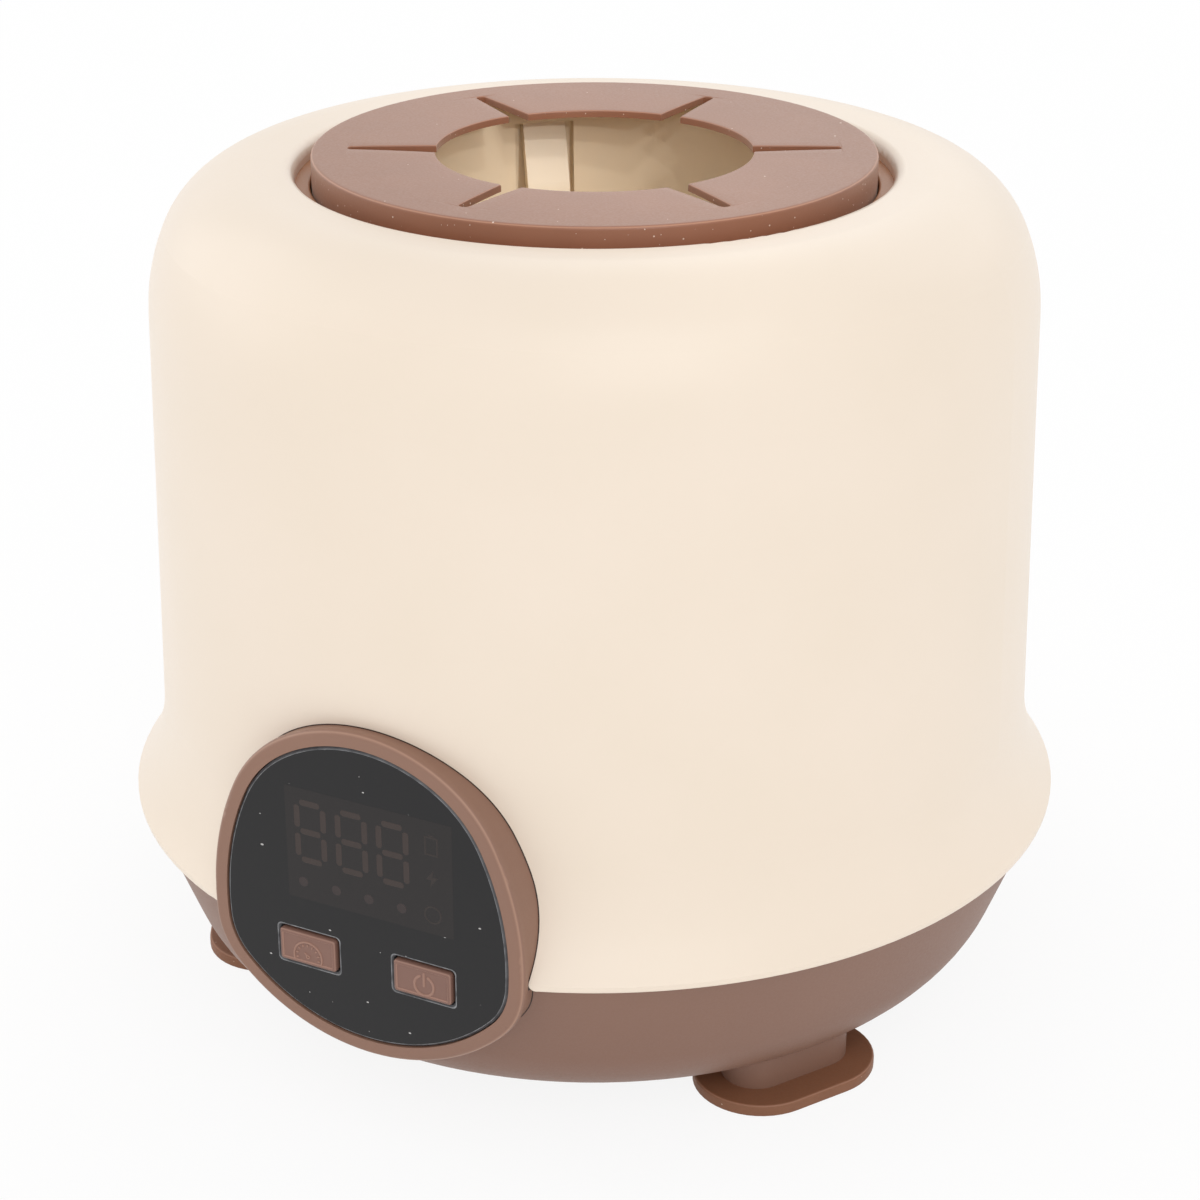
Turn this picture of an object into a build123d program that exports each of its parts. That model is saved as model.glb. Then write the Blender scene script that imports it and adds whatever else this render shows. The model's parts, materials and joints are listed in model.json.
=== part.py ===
from build123d import *
import os
from math import acos, cos, degrees, pi, radians, sin, sqrt, tan

# Baby formula mixer. Millimetres, +Z up, origin on the cup's axis at floor level, panel towards -Y.

# Housing stack, from the floor up
pad_thickness = 2.0
post_height = 2.3
bowl_depth = 27.5
shell_height = 100.8
collar_rise = 1.9
wall = 2.4

# Outer shell
skirt_radius = 75.0
skirt_land = 1.0
skirt_round = 0.4
skirt_flare = 5.2
flare_height = 16.2
flank_draft = 1.4
shoulder_turn = 25.0
shoulder_low = 30.0
shoulder_high = 15.0
mouth_gap = 2.55
mouth_wall = 2.2
mouth_depth = 16.0
mouth_fillet = 1.6

# Base bowl
skirt_overhang = 1.5
bowl_slant = 20.8
bowl_fillet = 18.0
tongue_height = 2.2
tongue_root = 4.0
tongue_wall = 1.8
tongue_gap = 0.25

# Feet
foot_inset = 18.8
foot_angles = (-30.0, 90.0, 210.0)
pad_length = 30.0
pad_width = 20.5
pad_fillet = 0.5
post_length = 21.5
post_width = 10.5
plug_length = 3.0
plug_gap = 0.2

# Case bosses and screws
boss_radius = 4.5
boss_length = 22.0
boss_rib = 2.4
base_screw_radius = 1.5
base_head_radius = 2.8
base_head_height = 2.0
base_bore_radius = 3.3
base_seat_height = 4.7
base_screw_grip = 12.0

# Collar
collar_radius = 42.85
collar_thickness = 1.1
collar_hole_radius = 24.1
collar_edge_fillet = 0.5
collar_hole_fillet = 0.2
lip_wall = 0.95
lip_drop = 4.8
lip_gap = 0.3
slit_count = 6
slit_phase = 27.5
slit_margin = 5.45
slit_tip_width = 1.7
slit_mouth_width = 3.5

# Cup
cup_taper = 2.0
cup_wall = 2.2
cup_fillet = 6.0
cup_floor_thickness = 3.0
rim_thickness = 2.3
rim_width = 2.2
cup_boss_radius = 18.0
cup_boss_height = 2.1
finger_count = 3
finger_phase = 10.5
finger_width = 7.0
finger_slot = 1.4
finger_drop = 4.0
finger_foot = 17.9
finger_lean = 4.4
finger_knee = 11.0
finger_bend = 10.0

# Gear pair
gear_module = 1.0
gear_teeth = 60
pinion_teeth = 15
pressure_angle = 20.0
addendum_share = 0.9
dedendum_share = 1.25
backlash = 0.25
gear_width = 6.0
gear_pocket = 2.0
gear_rim = 3.0
gear_hub_radius = 8.0
cup_screw_circle = 14.0

# Spindle and its bearing
spindle_radius = 4.0
spindle_socket = 1.0
running_fit = 0.03
running_gap = 0.1
washer_thickness = 0.8
washer_radius = 9.0
bush_wall = 3.0
bush_space = 2.0
bush_flange = 1.5
bush_flange_radius = 9.5
clip_thickness = 1.0
clip_radius = 7.0
clip_groove = 1.0
clip_slot = 5.0

# Drive deck
deck_rise = 11.2
deck_margin = 13.5
deck_thickness = 3.0
deck_panel_gap = 5.5
deck_notch_gap = 1.0
hub_rise = 5.0
hub_drop = 8.0
hub_wall = 5.0
deck_rib_height = 4.0
deck_rib_width = 2.4
deck_rib_angles = (90.0, 150.0, 210.0, 270.0, 330.0)
deck_rib_margin = 12.0
pillar_radius = 3.6
pillar_margin = 4.0
pillar_angles = (-15.0, 60.0, 120.0, 195.0)
pillar_screw_grip = 8.0

# Motor
motor_angle = 30.0
motor_radius = 14.0
motor_length = 26.0
can_wall = 1.4
can_top = 2.0
nose_radius = 4.5
nose_height = 2.5
nose_gap = 0.2
shaft_radius = 1.5
shaft_fit = 0.02
magnet_wall = 2.8
magnet_height = 15.0
rotor_gap = 1.0
end_cap_thickness = 3.0
shaft_tail = 1.2
shaft_nose = 0.6
motor_screw_offset = 7.0

# Small screws
screw_radius = 1.25
screw_head_radius = 2.2
screw_head_height = 1.6

# Control panel, depths counted inwards from the front of the bezel
panel_recess = 2.9
panel_rise = 2.6
panel_top = 30.4
crown_radius = 23.6
crown_sweep = 34.3
shoulder_radius = 19.0
shoulder_sweep = 30.7
side_radius = 42.4
side_sweep = 28.8
corner_radius = 10.2
corner_sweep = 40.1
bezel_width = 2.45
bezel_fillet = 0.8
ring_lip = 0.35
ring_depth = 1.5
panel_gap = 0.12
notch_fillet = 1.5
lens_gap = 0.1
lens_recess = 0.1
lens_thickness = 1.8
lens_chamfer = 0.4
lens_rim_chamfer = 0.25
shelf_width = 1.6
shelf_thickness = 1.5
ear_reach = 5.6
ear_height = 8.0
ear_drop = 2.0
ear_thickness = 2.0
ear_post_depth = 5.0
ear_screw_grip = 4.0
ear_head_gap = 0.3

# Control board
board_inset = 0.6
board_thickness = 1.6
board_stand = 6.7
board_boss_radius = 2.4
board_screw_radius = 1.0
board_screw_head = 2.0
board_screw_head_height = 1.9
board_screw_grip = 5.0
board_screw_spread = 12.0
board_screw_low_drop = 41.9
board_screw_high_drop = 3.4
led_width = 26.0
led_height = 18.0
led_across = 0.5
led_drop = 17.4
led_gap = 1.0

# Buttons and their switches
button_width = 9.6
button_height = 5.2
button_corner = 0.5
button_spread = 9.75
button_drop = 34.9
button_gap = 0.3
button_proud = 0.5
button_edge = 0.2
button_travel = 0.5
button_flange = 0.9
button_flange_thickness = 1.2
button_flange_gap = 0.2
stem_radius = 1.6
switch_size = 6.0
switch_height = 3.4
plunger_radius = 1.7
plunger_fit = 0.05
plunger_rise = 1.0
plunger_depth = 2.2
plunger_room = 0.3

# Battery pack
cell_radius = 9.15
cell_length = 65.0
cell_gap = 0.15
cell_space = 0.7
pack_gap = 7.65
tray_half_length = 21.5
tray_wall = 3.0
tray_margin = 1.2
tray_floor = 1.5
tray_depth = 11.0
rail_height = 1.0
rail_width = 2.0
rail_offset = 14.0

# Charging inlet
inlet_drop = 9.8
inlet_recess = 6.5
inlet_block_depth = 3.0
inlet_block_margin = 2.0
plug_pocket_width = 13.5
plug_pocket_height = 7.6
socket_width = 8.94
socket_height = 3.26
socket_wall = 0.3
socket_gap = 0.2
socket_length = 5.2
socket_floor = 0.8
tongue_width = 6.7
tongue_thickness = 0.7
tongue_recess = 0.8
charge_board_width = 22.0
charge_board_height = 13.0
charge_board_rail = 4.0
charge_board_slot = 1.5
charge_board_gap = 0.05

# Levels that follow from the stack
bowl_bottom = pad_thickness + post_height
bowl_floor = bowl_bottom + wall
seam_z = bowl_bottom + bowl_depth
shell_top = seam_z + shell_height
collar_top = shell_top + collar_rise
rim_z = collar_top - collar_thickness
deck_bottom = seam_z + deck_rise
deck_top = deck_bottom + deck_thickness
hub_top = deck_top + hub_rise
hub_bottom = deck_bottom - hub_drop
washer_top = hub_top + bush_flange + washer_thickness
gear_bottom = washer_top + running_gap
gear_web = gear_bottom + gear_pocket
gear_top = gear_bottom + gear_width
cup_base = gear_top + cup_boss_height
cup_floor = cup_base + cup_floor_thickness
cup_depth = rim_z - cup_floor
clip_top = hub_bottom - bush_flange - running_gap
clip_bottom = clip_top - clip_thickness
boss_meet = seam_z + tongue_height
screw_seat = bowl_bottom + base_seat_height
inlet_z = seam_z - inlet_drop
bush_length = (hub_top - hub_bottom - bush_space) / 2
finger_length = cup_depth - finger_drop - finger_foot

# Radii and places that follow
flank_radius = skirt_radius - skirt_flare
bowl_radius = skirt_radius - skirt_overhang
panel_reach = skirt_radius - panel_recess
barrel_width = bezel_width - ring_lip
foot_radius = bowl_radius - foot_inset
mouth_radius = collar_radius + mouth_gap
rim_radius = collar_radius - lip_wall - lip_gap
cup_radius = rim_radius - rim_width
slit_tip_radius = collar_radius - slit_margin
bush_radius = spindle_radius + bush_wall
gear_pitch = gear_module * gear_teeth / 2
pinion_pitch = gear_module * pinion_teeth / 2
motor_circle = gear_pitch + pinion_pitch
motor_x = motor_circle * cos(radians(motor_angle))
motor_y = motor_circle * sin(radians(motor_angle))
can_inner = motor_radius - can_wall
motor_bottom = deck_bottom - motor_length
panel_z = seam_z + panel_rise
inlet_floor = bowl_radius - inlet_recess

# Depths behind the front of the bezel
lens_back = lens_recess + lens_thickness
shelf_back = lens_back + shelf_thickness
board_front = shelf_back + board_stand
board_back = board_front + board_thickness
bezel_depth = board_back + board_screw_head_height
switch_top = board_front - switch_height
plunger_top = switch_top - plunger_rise
flange_front = lens_back + button_flange_gap
flange_back = flange_front + button_flange_thickness

# Places that keep clear of the panel
panel_back = panel_reach - bezel_depth
cell_pitch = 2 * cell_radius + cell_space
tray_reach = cell_pitch / 2 + cell_radius + tray_margin
pack_offset = panel_back - pack_gap - tray_reach
deck_radius = bowl_radius - deck_margin
deck_front = panel_back - deck_panel_gap
pillar_circle = deck_radius - pillar_margin

UP = (Align.CENTER, Align.CENTER, Align.MIN)


def rod(radius, bottom, top, x=0.0, y=0.0):
    """Upright cylinder between two heights."""
    return Pos(x, y, bottom) * Cylinder(radius, top - bottom, align=UP)


def pipe(inner, outer, bottom, top, x=0.0, y=0.0):
    """Upright tube between two heights."""
    return rod(outer, bottom, top, x, y) - rod(inner, bottom, top, x, y)


def block(x0, x1, y0, y1, z0, z1):
    """Box between two corners."""
    return Pos((x0 + x1) / 2, (y0 + y1) / 2, (z0 + z1) / 2) * Box(x1 - x0, y1 - y0, z1 - z0)


def polar(radius, angle):
    """Plan position at a radius and an angle from +X."""
    return radius * cos(radians(angle)), radius * sin(radians(angle))


def turned(*edges):
    """Solid of revolution about the axis from a closed outline drawn as radius and height."""
    return revolve(Plane.XZ * make_face(edges), Axis.Z)


def spread(solids):
    """Separate solids kept together as one group."""
    return Compound([solid for group in solids for solid in group.solids()])


# Outer shell

draft = radians(flank_draft)
bend = radians(shoulder_turn)
flank_out = Vector(cos(draft), sin(draft))
flank_down = Vector(sin(draft), -cos(draft))
bend_out = Vector(cos(bend), sin(bend))
flare_start = Vector(flank_radius, seam_z + flare_height)
skirt_edge = Vector(skirt_radius, seam_z + skirt_land)
flare_chord = skirt_edge - flare_start
flare_radius = flare_chord.dot(flare_chord) / (2 * flare_chord.dot(flank_out))
flare_centre = flare_start + flank_out * flare_radius

# The shoulder's two arcs shrink together where the mouth leaves them too little room
flank_top = flank_radius - (shell_top - flare_start.Y) * tan(draft)
shoulder_reach = shoulder_low * (cos(draft) - cos(bend)) + shoulder_high * cos(bend)
shoulder_share = min(1.0, (flank_top - mouth_radius - mouth_wall) / shoulder_reach)
low_radius = shoulder_low * shoulder_share
high_radius = shoulder_high * shoulder_share
crown_z = shell_top - high_radius
crown_lean = (low_radius - high_radius) * bend_out.dot(flank_out) - low_radius
crown_r = (flare_start.dot(flank_out) + crown_lean - crown_z * sin(draft)) / cos(draft)
crown_centre = Vector(crown_r, crown_z)
shoulder_centre = crown_centre - bend_out * (low_radius - high_radius)


def flare_at(inset, height):
    """Radius of the flared skirt, moved inwards by inset, at a height."""
    reach = flare_radius + inset
    return flare_centre.X - sqrt(reach**2 - (flare_centre.Y - height) ** 2)


def shell_body(inset):
    """Everything inside the shell's outer skin, with the skin moved inwards by inset."""
    crown = crown_centre + Vector(0, high_radius - inset)
    turn = crown_centre + bend_out * (high_radius - inset)
    shoulder = shoulder_centre + flank_out * (low_radius - inset)
    flank = flare_start - flank_out * inset
    foot_z = skirt_edge.Y if inset == 0 else seam_z
    foot = Vector(flare_at(inset, foot_z), foot_z)
    edges = [
        Line((0, crown.Y), crown),
        TangentArc(crown, turn, tangent=(1, 0)),
        TangentArc(turn, shoulder, tangent=(bend_out.Y, -bend_out.X)),
        Line(shoulder, flank),
        TangentArc(flank, foot, tangent=flank_down),
    ]
    if foot_z > seam_z:
        land = Vector(foot.X, seam_z + skirt_round)
        edge = Vector(foot.X - skirt_round, seam_z)
        edges += [Line(foot, land), TangentArc(land, edge, tangent=(0, -1))]
        foot = edge
    edges += [Line(foot, (0, seam_z)), Line((0, seam_z), (0, crown.Y))]
    return turned(*edges)


# Panel outline

panel_arcs = [
    (crown_radius, crown_sweep),
    (shoulder_radius, shoulder_sweep),
    (side_radius, side_sweep),
    (corner_radius, corner_sweep),
]


def panel_half_width():
    """Half the panel's width, where its outline runs upright."""
    turn = 0.0
    across = 0.0
    for radius, sweep in panel_arcs:
        end = min(turn + sweep, 90.0)
        across += radius * (sin(radians(end)) - sin(radians(turn)))
        turn = end
    return across


def panel_outline(grow):
    """Egg-shaped panel face, five arcs a side, grown by a parallel offset."""
    turn = sum(sweep for radius, sweep in panel_arcs)
    ends = [sum(sweep for radius, sweep in panel_arcs[: n + 1]) for n in range(len(panel_arcs))]
    starts = [0.0] + ends[:-1]
    across = sum(
        arc[0] * (sin(radians(end)) - sin(radians(start)))
        for arc, start, end in zip(panel_arcs, starts, ends)
    )
    closing = (across / sin(radians(turn)), 180.0 - turn)
    point = Vector(0, panel_top + grow)
    heading = Vector(1, 0)
    half = []
    for radius, sweep in panel_arcs + [closing]:
        arc = JernArc(point, heading, radius + grow, -sweep)
        half.append(arc)
        point = arc @ 1
        heading = arc % 1
    return make_face(half + [mirror(arc, Plane.YZ) for arc in half])


def panel_slab(sketch, near, far):
    """Prism of a panel sketch between two depths behind the front of the bezel."""
    plane = Plane((0, far - panel_reach, panel_z), x_dir=(1, 0, 0), z_dir=(0, -1, 0))
    return extrude(plane * sketch, far - near)


def panel_notch(upwards):
    """Cut for the panel in one half of the housing, with rounded corners at the seam."""
    outline = panel_outline(barrel_width + panel_gap)
    half_width = panel_half_width() + barrel_width + panel_gap + 2 * notch_fillet
    side = -1 if upwards else 1
    apron = Pos(0, side * panel_top - panel_rise) * Rectangle(2 * half_width, 2 * panel_top)
    grown = offset(outline + apron, notch_fillet)
    return panel_slab(offset(grown, -notch_fillet), -skirt_radius, bezel_depth)


def outer_shell():
    """Cream bell with a turned-in mouth, case bosses and the notch for the panel."""
    outer = shell_body(0)
    shell = outer - shell_body(wall)
    mouth_end = shell_top - mouth_depth
    shell += pipe(mouth_radius, mouth_radius + mouth_wall, mouth_end, shell_top - wall / 2)
    shell -= rod(mouth_radius, seam_z, shell_top)
    lips = shell.edges().filter_by(GeomType.CIRCLE).group_by(Axis.Z)[-1]
    shell = fillet(lips.sort_by(SortBy.RADIUS)[0], mouth_fillet)
    keep = shell_body(wall / 2)
    for angle in foot_angles:
        x, y = polar(foot_radius, angle)
        post = rod(boss_radius, boss_meet, boss_meet + boss_length, x, y)
        half_rib = boss_rib / 2
        rib = block(foot_radius, skirt_radius, -half_rib, half_rib, boss_meet, boss_meet + boss_length)
        shell += (post + Rot(0, 0, angle) * rib) & keep
        shell -= rod(base_screw_radius, boss_meet, boss_meet + base_screw_grip, x, y)
    return shell - panel_notch(True)


# Base bowl

slant = radians(bowl_slant)
bowl_side = Vector(cos(slant), -sin(slant))
bowl_centre_z = bowl_bottom + bowl_fillet
bowl_bend_z = bowl_centre_z - bowl_fillet * sin(slant)
bowl_centre_r = bowl_radius - (seam_z - bowl_bend_z) * tan(slant) - bowl_fillet * cos(slant)
bowl_centre = Vector(bowl_centre_r, bowl_centre_z)


def bowl_body(inset):
    """Everything inside the bowl's outer skin, with the skin moved inwards by inset."""
    bottom = bowl_bottom + inset
    flat = Vector(bowl_centre.X, bottom)
    heel = bowl_centre + bowl_side * (bowl_fillet - inset)
    rim = Vector(bowl_radius - inset / cos(slant), seam_z)
    return turned(
        Line((0, bottom), flat),
        TangentArc(flat, heel, tangent=(1, 0)),
        Line(heel, rim),
        Line(rim, (0, seam_z)),
        Line((0, seam_z), (0, bottom)),
    )


def foot_place(angle, height):
    """Place on a foot's centre, with local X along the rim."""
    x, y = polar(foot_radius, angle)
    return Location((x, y, height), (0, 0, angle + 90))


def bowl_tongue():
    """Ring that stands up inside the shell's skirt, open at the panel."""
    outer = flare_at(wall, seam_z + tongue_height) - tongue_gap
    ring = pipe(outer - tongue_wall, outer, seam_z - tongue_root, seam_z + tongue_height)
    clear = panel_half_width() + barrel_width + ear_reach + tongue_wall
    return ring - block(-clear, clear, -skirt_radius, 0, 0, shell_top)


def ear_posts():
    """Two posts in the bowl that carry the panel."""
    front = bezel_depth - panel_reach
    inner = panel_half_width() + barrel_width
    top = panel_z - ear_drop + ear_height / 2
    post = block(inner, inner + ear_reach, front, front + ear_post_depth, bowl_bottom, top)
    return post + mirror(post, Plane.YZ)


def inlet_plane(y):
    """Upright plane across the charging inlet, facing backwards."""
    return Plane((0, y, inlet_z), x_dir=(-1, 0, 0), z_dir=(0, 1, 0))


def inlet_block():
    """Thickened patch of the bowl's wall round the charging inlet."""
    margin = 2 * inlet_block_margin
    outline = SlotOverall(plug_pocket_width + margin, plug_pocket_height + margin)
    return extrude(inlet_plane(inlet_floor - inlet_block_depth) * outline, skirt_radius - inlet_floor)


def inlet_cut():
    """Plug pocket and the hole for the socket behind it."""
    pocket = SlotOverall(plug_pocket_width, plug_pocket_height)
    hole = SlotOverall(socket_width + 2 * socket_gap, socket_height + 2 * socket_gap)
    cut = extrude(inlet_plane(inlet_floor) * pocket, skirt_radius - inlet_floor)
    return cut + extrude(inlet_plane(inlet_floor - socket_length) * hole, socket_length)


def charge_rails():
    """Two grooved rails that the charging board slides into from above."""
    board_y = inlet_floor - socket_length
    half = charge_board_width / 2 + charge_board_gap
    inner = half - charge_board_slot
    outer = inner + charge_board_rail
    back = board_y - board_thickness
    top = inlet_z + charge_board_height / 2 - charge_board_slot
    rail = block(inner, outer, back - charge_board_slot, board_y + charge_board_slot, bowl_bottom, top)
    ledge = inlet_z - charge_board_height / 2
    rail -= block(inner, half, back - charge_board_gap, board_y + charge_board_gap, ledge, top)
    return rail + mirror(rail, Plane.YZ)


def battery_rails():
    """Two low ribs under the battery tray."""
    rear = pack_offset - cell_pitch / 2
    front = pack_offset + cell_pitch / 2
    inner = rail_offset - rail_width / 2
    rail = block(inner, inner + rail_width, -front, -rear, bowl_bottom, bowl_floor + rail_height)
    return rail + mirror(rail, Plane.YZ)


def base_bowl():
    """Brown bowl with foot posts, case bosses, deck pillars, panel posts and the charging inlet."""
    outer = bowl_body(0)
    keep = bowl_body(wall / 2)
    posts = [
        extrude(foot_place(angle, pad_thickness) * SlotOverall(post_length, post_width), bowl_fillet)
        for angle in foot_angles
    ]
    bowl = outer + posts - bowl_body(wall)
    bowl += bowl_tongue()
    inside = keep + rod(bowl_radius, seam_z, shell_top)
    for angle in foot_angles:
        bowl += rod(boss_radius, bowl_bottom, boss_meet, *polar(foot_radius, angle)) & inside
    for angle in pillar_angles:
        bowl += rod(pillar_radius, bowl_bottom, deck_bottom, *polar(pillar_circle, angle)) & inside
    bowl += (ear_posts() + inlet_block() + charge_rails() + battery_rails()) & inside
    for angle in foot_angles:
        x, y = polar(foot_radius, angle)
        bowl -= rod(base_bore_radius, 0, screw_seat, x, y)
        bowl -= rod(base_screw_radius, screw_seat, boss_meet, x, y)
    for angle in pillar_angles:
        x, y = polar(pillar_circle, angle)
        bowl -= rod(screw_radius, deck_bottom - pillar_screw_grip, deck_bottom, x, y)
    for x in (-ear_screw_x(), ear_screw_x()):
        bowl -= ear_screw_hole(x, bezel_depth, bezel_depth + ear_screw_grip) + ear_head_room(x)
    return bowl - panel_notch(False) - inlet_cut()


def foot_pad(angle):
    """Oval pad with a plug that fills the screw recess in the post above it."""
    pad = extrude(foot_place(angle, 0) * SlotOverall(pad_length, pad_width), pad_thickness)
    pad = fillet(pad.edges().group_by(Axis.Z)[-1], pad_fillet)
    plug = rod(base_bore_radius - plug_gap, 0, pad_thickness + plug_length, *polar(foot_radius, angle))
    return pad + plug


def base_screws():
    """Three long screws from the foot posts up into the shell."""
    screws = []
    for angle in foot_angles:
        x, y = polar(foot_radius, angle)
        head = rod(base_head_radius, screw_seat - base_head_height, screw_seat, x, y)
        screws.append(head + rod(base_screw_radius, screw_seat, boss_meet + base_screw_grip, x, y))
    return spread(screws)


# Collar and cup

def slit_sketch():
    """Tapered slit with a rounded outer tip, open at the collar's hole."""
    tip_half = slit_tip_width / 2
    tip_centre = slit_tip_radius - tip_half
    slope = (slit_mouth_width / 2 - tip_half) / (tip_centre - collar_hole_radius)
    inner = collar_hole_radius / 2
    inner_half = tip_half + slope * (tip_centre - inner)
    root = [(inner, inner_half), (inner, -inner_half)]
    taper = Polyline(*root, (tip_centre, -tip_half), (tip_centre, tip_half), close=True)
    return make_face(taper) + Pos(tip_centre, 0) * Circle(tip_half)


def grip_collar():
    """Soft disc that grips the bottle, with a lip round the cup's rim."""
    collar = rod(collar_radius, rim_z - lip_drop, collar_top)
    collar -= rod(collar_radius - lip_wall, rim_z - lip_drop, rim_z)
    collar -= rod(collar_hole_radius, rim_z, collar_top)
    rims = collar.edges().filter_by(GeomType.CIRCLE).group_by(Axis.Z)[-1].sort_by(SortBy.RADIUS)
    collar = fillet(rims[0], collar_hole_fillet)
    rims = collar.edges().filter_by(GeomType.CIRCLE).group_by(Axis.Z)[-1].sort_by(SortBy.RADIUS)
    collar = fillet(rims[-1], collar_edge_fillet)
    slit = extrude(Pos(0, 0, rim_z - lip_drop) * slit_sketch(), collar_thickness + lip_drop + 1)
    for n in range(slit_count):
        collar -= Rot(0, 0, slit_phase + n * 360 / slit_count) * slit
    return collar


def cup_body(inset, bottom):
    """Everything inside the cup's outer skin, moved inwards by inset, down to a floor."""
    lean = tan(radians(cup_taper))
    top = cup_radius - inset
    low = top - (rim_z - bottom) * lean
    outline = make_face(Polyline((0, bottom), (low, bottom), (top, rim_z), (0, rim_z), close=True))
    heel = [v for v in outline.vertices() if abs(v.Y - bottom) < 0.01 and v.X > 1]
    return revolve(Plane.XZ * fillet(heel, cup_fillet - inset), Axis.Z)


def finger_face(inner, outer, top, bottom):
    """Side view of a leaf finger that slants inwards to a knee and then hangs down."""
    knee = top - finger_knee
    back = [(outer, top), (outer - finger_lean, knee), (outer - finger_lean, bottom)]
    front = [(inner - finger_lean, bottom), (inner - finger_lean, knee), (inner, top)]
    leaf = make_face(Polyline(*back, *front, close=True))
    bends = [v for v in leaf.vertices() if abs(v.Y - knee) < 0.01]
    return fillet(bends, finger_bend)


def bottle_cup():
    """Cup with a rim for the collar, a boss for the gear and leaf fingers cut out of its wall."""
    cup = cup_body(0, cup_base) - cup_body(cup_wall, cup_floor)
    cup += pipe(cup_radius - cup_wall, rim_radius, rim_z - rim_thickness, rim_z)
    cup += rod(cup_boss_radius, gear_top, cup_base)
    top = rim_z - finger_drop
    bottom = top - finger_length
    outer = cup_radius - (rim_z - top) * tan(radians(cup_taper))
    root = rim_z - finger_drop / 2
    for n in range(finger_count):
        turn = Rot(0, 0, finger_phase + n * 360 / finger_count)
        half = finger_width / 2 + finger_slot
        cup -= turn * block(cup_radius / 2, 2 * cup_radius, -half, half, bottom - finger_slot, top)
        side = Plane.XZ * finger_face(outer - cup_wall, outer, top, bottom)
        leaf = extrude(side, finger_width / 2, both=True)
        heel = block(outer - cup_wall, outer, -finger_width / 2, finger_width / 2, top, root)
        cup += turn * (leaf + heel)
    cup -= rod(spindle_radius, gear_top, cup_base + spindle_socket)
    for x, y in cup_screw_places():
        cup -= rod(screw_radius, gear_top, cup_base + cup_floor_thickness / 2, x, y)
    return cup


def cup_screw_places():
    """Plan positions of the screws between gear and cup."""
    return [polar(cup_screw_circle, n * 120.0) for n in range(3)]


def cup_screws():
    """Three screws that hold the gear to the cup."""
    screws = []
    for x, y in cup_screw_places():
        head = rod(screw_head_radius, gear_web - screw_head_height, gear_web, x, y)
        screws.append(head + rod(screw_radius, gear_web, cup_base + cup_floor_thickness / 2, x, y))
    return spread(screws)


# Gear pair

def involute(angle):
    """Involute function of an angle in radians."""
    return tan(angle) - angle


def gear_sketch(teeth):
    """Spur gear outline with involute flanks, one arc a flank, a tooth on local +X."""
    pitch = gear_module * teeth / 2
    base = pitch * cos(radians(pressure_angle))
    tip = pitch + addendum_share * gear_module
    root = pitch - dedendum_share * gear_module
    low = max(base, root)
    half_pitch = (pi * gear_module / 2 - backlash) / (2 * pitch)

    def flank(radius, side, centre):
        swing = half_pitch + involute(radians(pressure_angle)) - involute(acos(base / radius))
        return Vector(radius, 0).rotate(Axis.Z, degrees(centre + side * swing))

    edges = []
    step = 2 * pi / teeth
    for n in range(teeth):
        centre = n * step
        rising = [flank(radius, -1, centre) for radius in (low, (low + tip) / 2, tip)]
        falling = [flank(radius, 1, centre) for radius in (tip, (low + tip) / 2, low)]
        foot = [rising[0].normalized() * root, falling[-1].normalized() * root]
        following = flank(low, -1, centre + step).normalized() * root
        if low > root:
            edges += [Line(foot[0], rising[0]), Line(falling[-1], foot[1])]
        edges += [ThreePointArc(*rising), Line(rising[-1], falling[0]), ThreePointArc(*falling)]
        edges.append(Line(foot[1], following))
    return make_face(edges)


def cup_gear():
    """Large gear under the cup, with a hub and a pocket for the screw heads."""
    gear = extrude(Pos(0, 0, gear_bottom) * gear_sketch(gear_teeth), gear_width)
    root = gear_pitch - dedendum_share * gear_module
    gear -= pipe(gear_hub_radius, root - gear_rim, gear_bottom, gear_web)
    gear -= rod(spindle_radius, gear_bottom, gear_top)
    for x, y in cup_screw_places():
        gear -= rod(screw_radius, gear_web, gear_top, x, y)
    return gear


def motor_pinion():
    """Small gear on the motor shaft, turned so that a gap takes the large gear's tooth."""
    half_step = 180.0 / pinion_teeth
    turn = motor_angle + 180.0 + half_step
    sketch = Rot(0, 0, turn) * gear_sketch(pinion_teeth)
    pinion = extrude(Pos(motor_x, motor_y, gear_bottom) * sketch, gear_width)
    return pinion - rod(shaft_radius, gear_bottom, gear_top, motor_x, motor_y)


# Spindle bearing

def spindle():
    """Steel spindle from the clip below the hub up into the cup."""
    shaft = rod(spindle_radius, clip_bottom - clip_thickness, cup_base + spindle_socket)
    return shaft - pipe(spindle_radius - clip_groove, spindle_radius + 1, clip_bottom, clip_top)


def spindle_clip():
    """Open retaining clip in the spindle's groove."""
    clip = pipe(spindle_radius - clip_groove, clip_radius, clip_bottom, clip_top)
    return clip - block(0, clip_radius, -clip_slot / 2, clip_slot / 2, clip_bottom, clip_top)


def bush(flange_bottom, sleeve_bottom):
    """Flanged bush with a running fit on the spindle."""
    bore = spindle_radius + running_fit
    flange = pipe(bore, bush_flange_radius, flange_bottom, flange_bottom + bush_flange)
    return flange + pipe(bore, bush_radius, sleeve_bottom, sleeve_bottom + bush_length)


def thrust_washer():
    """Washer between the upper bush and the gear."""
    return pipe(spindle_radius + running_fit, washer_radius, washer_top - washer_thickness, washer_top)


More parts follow.
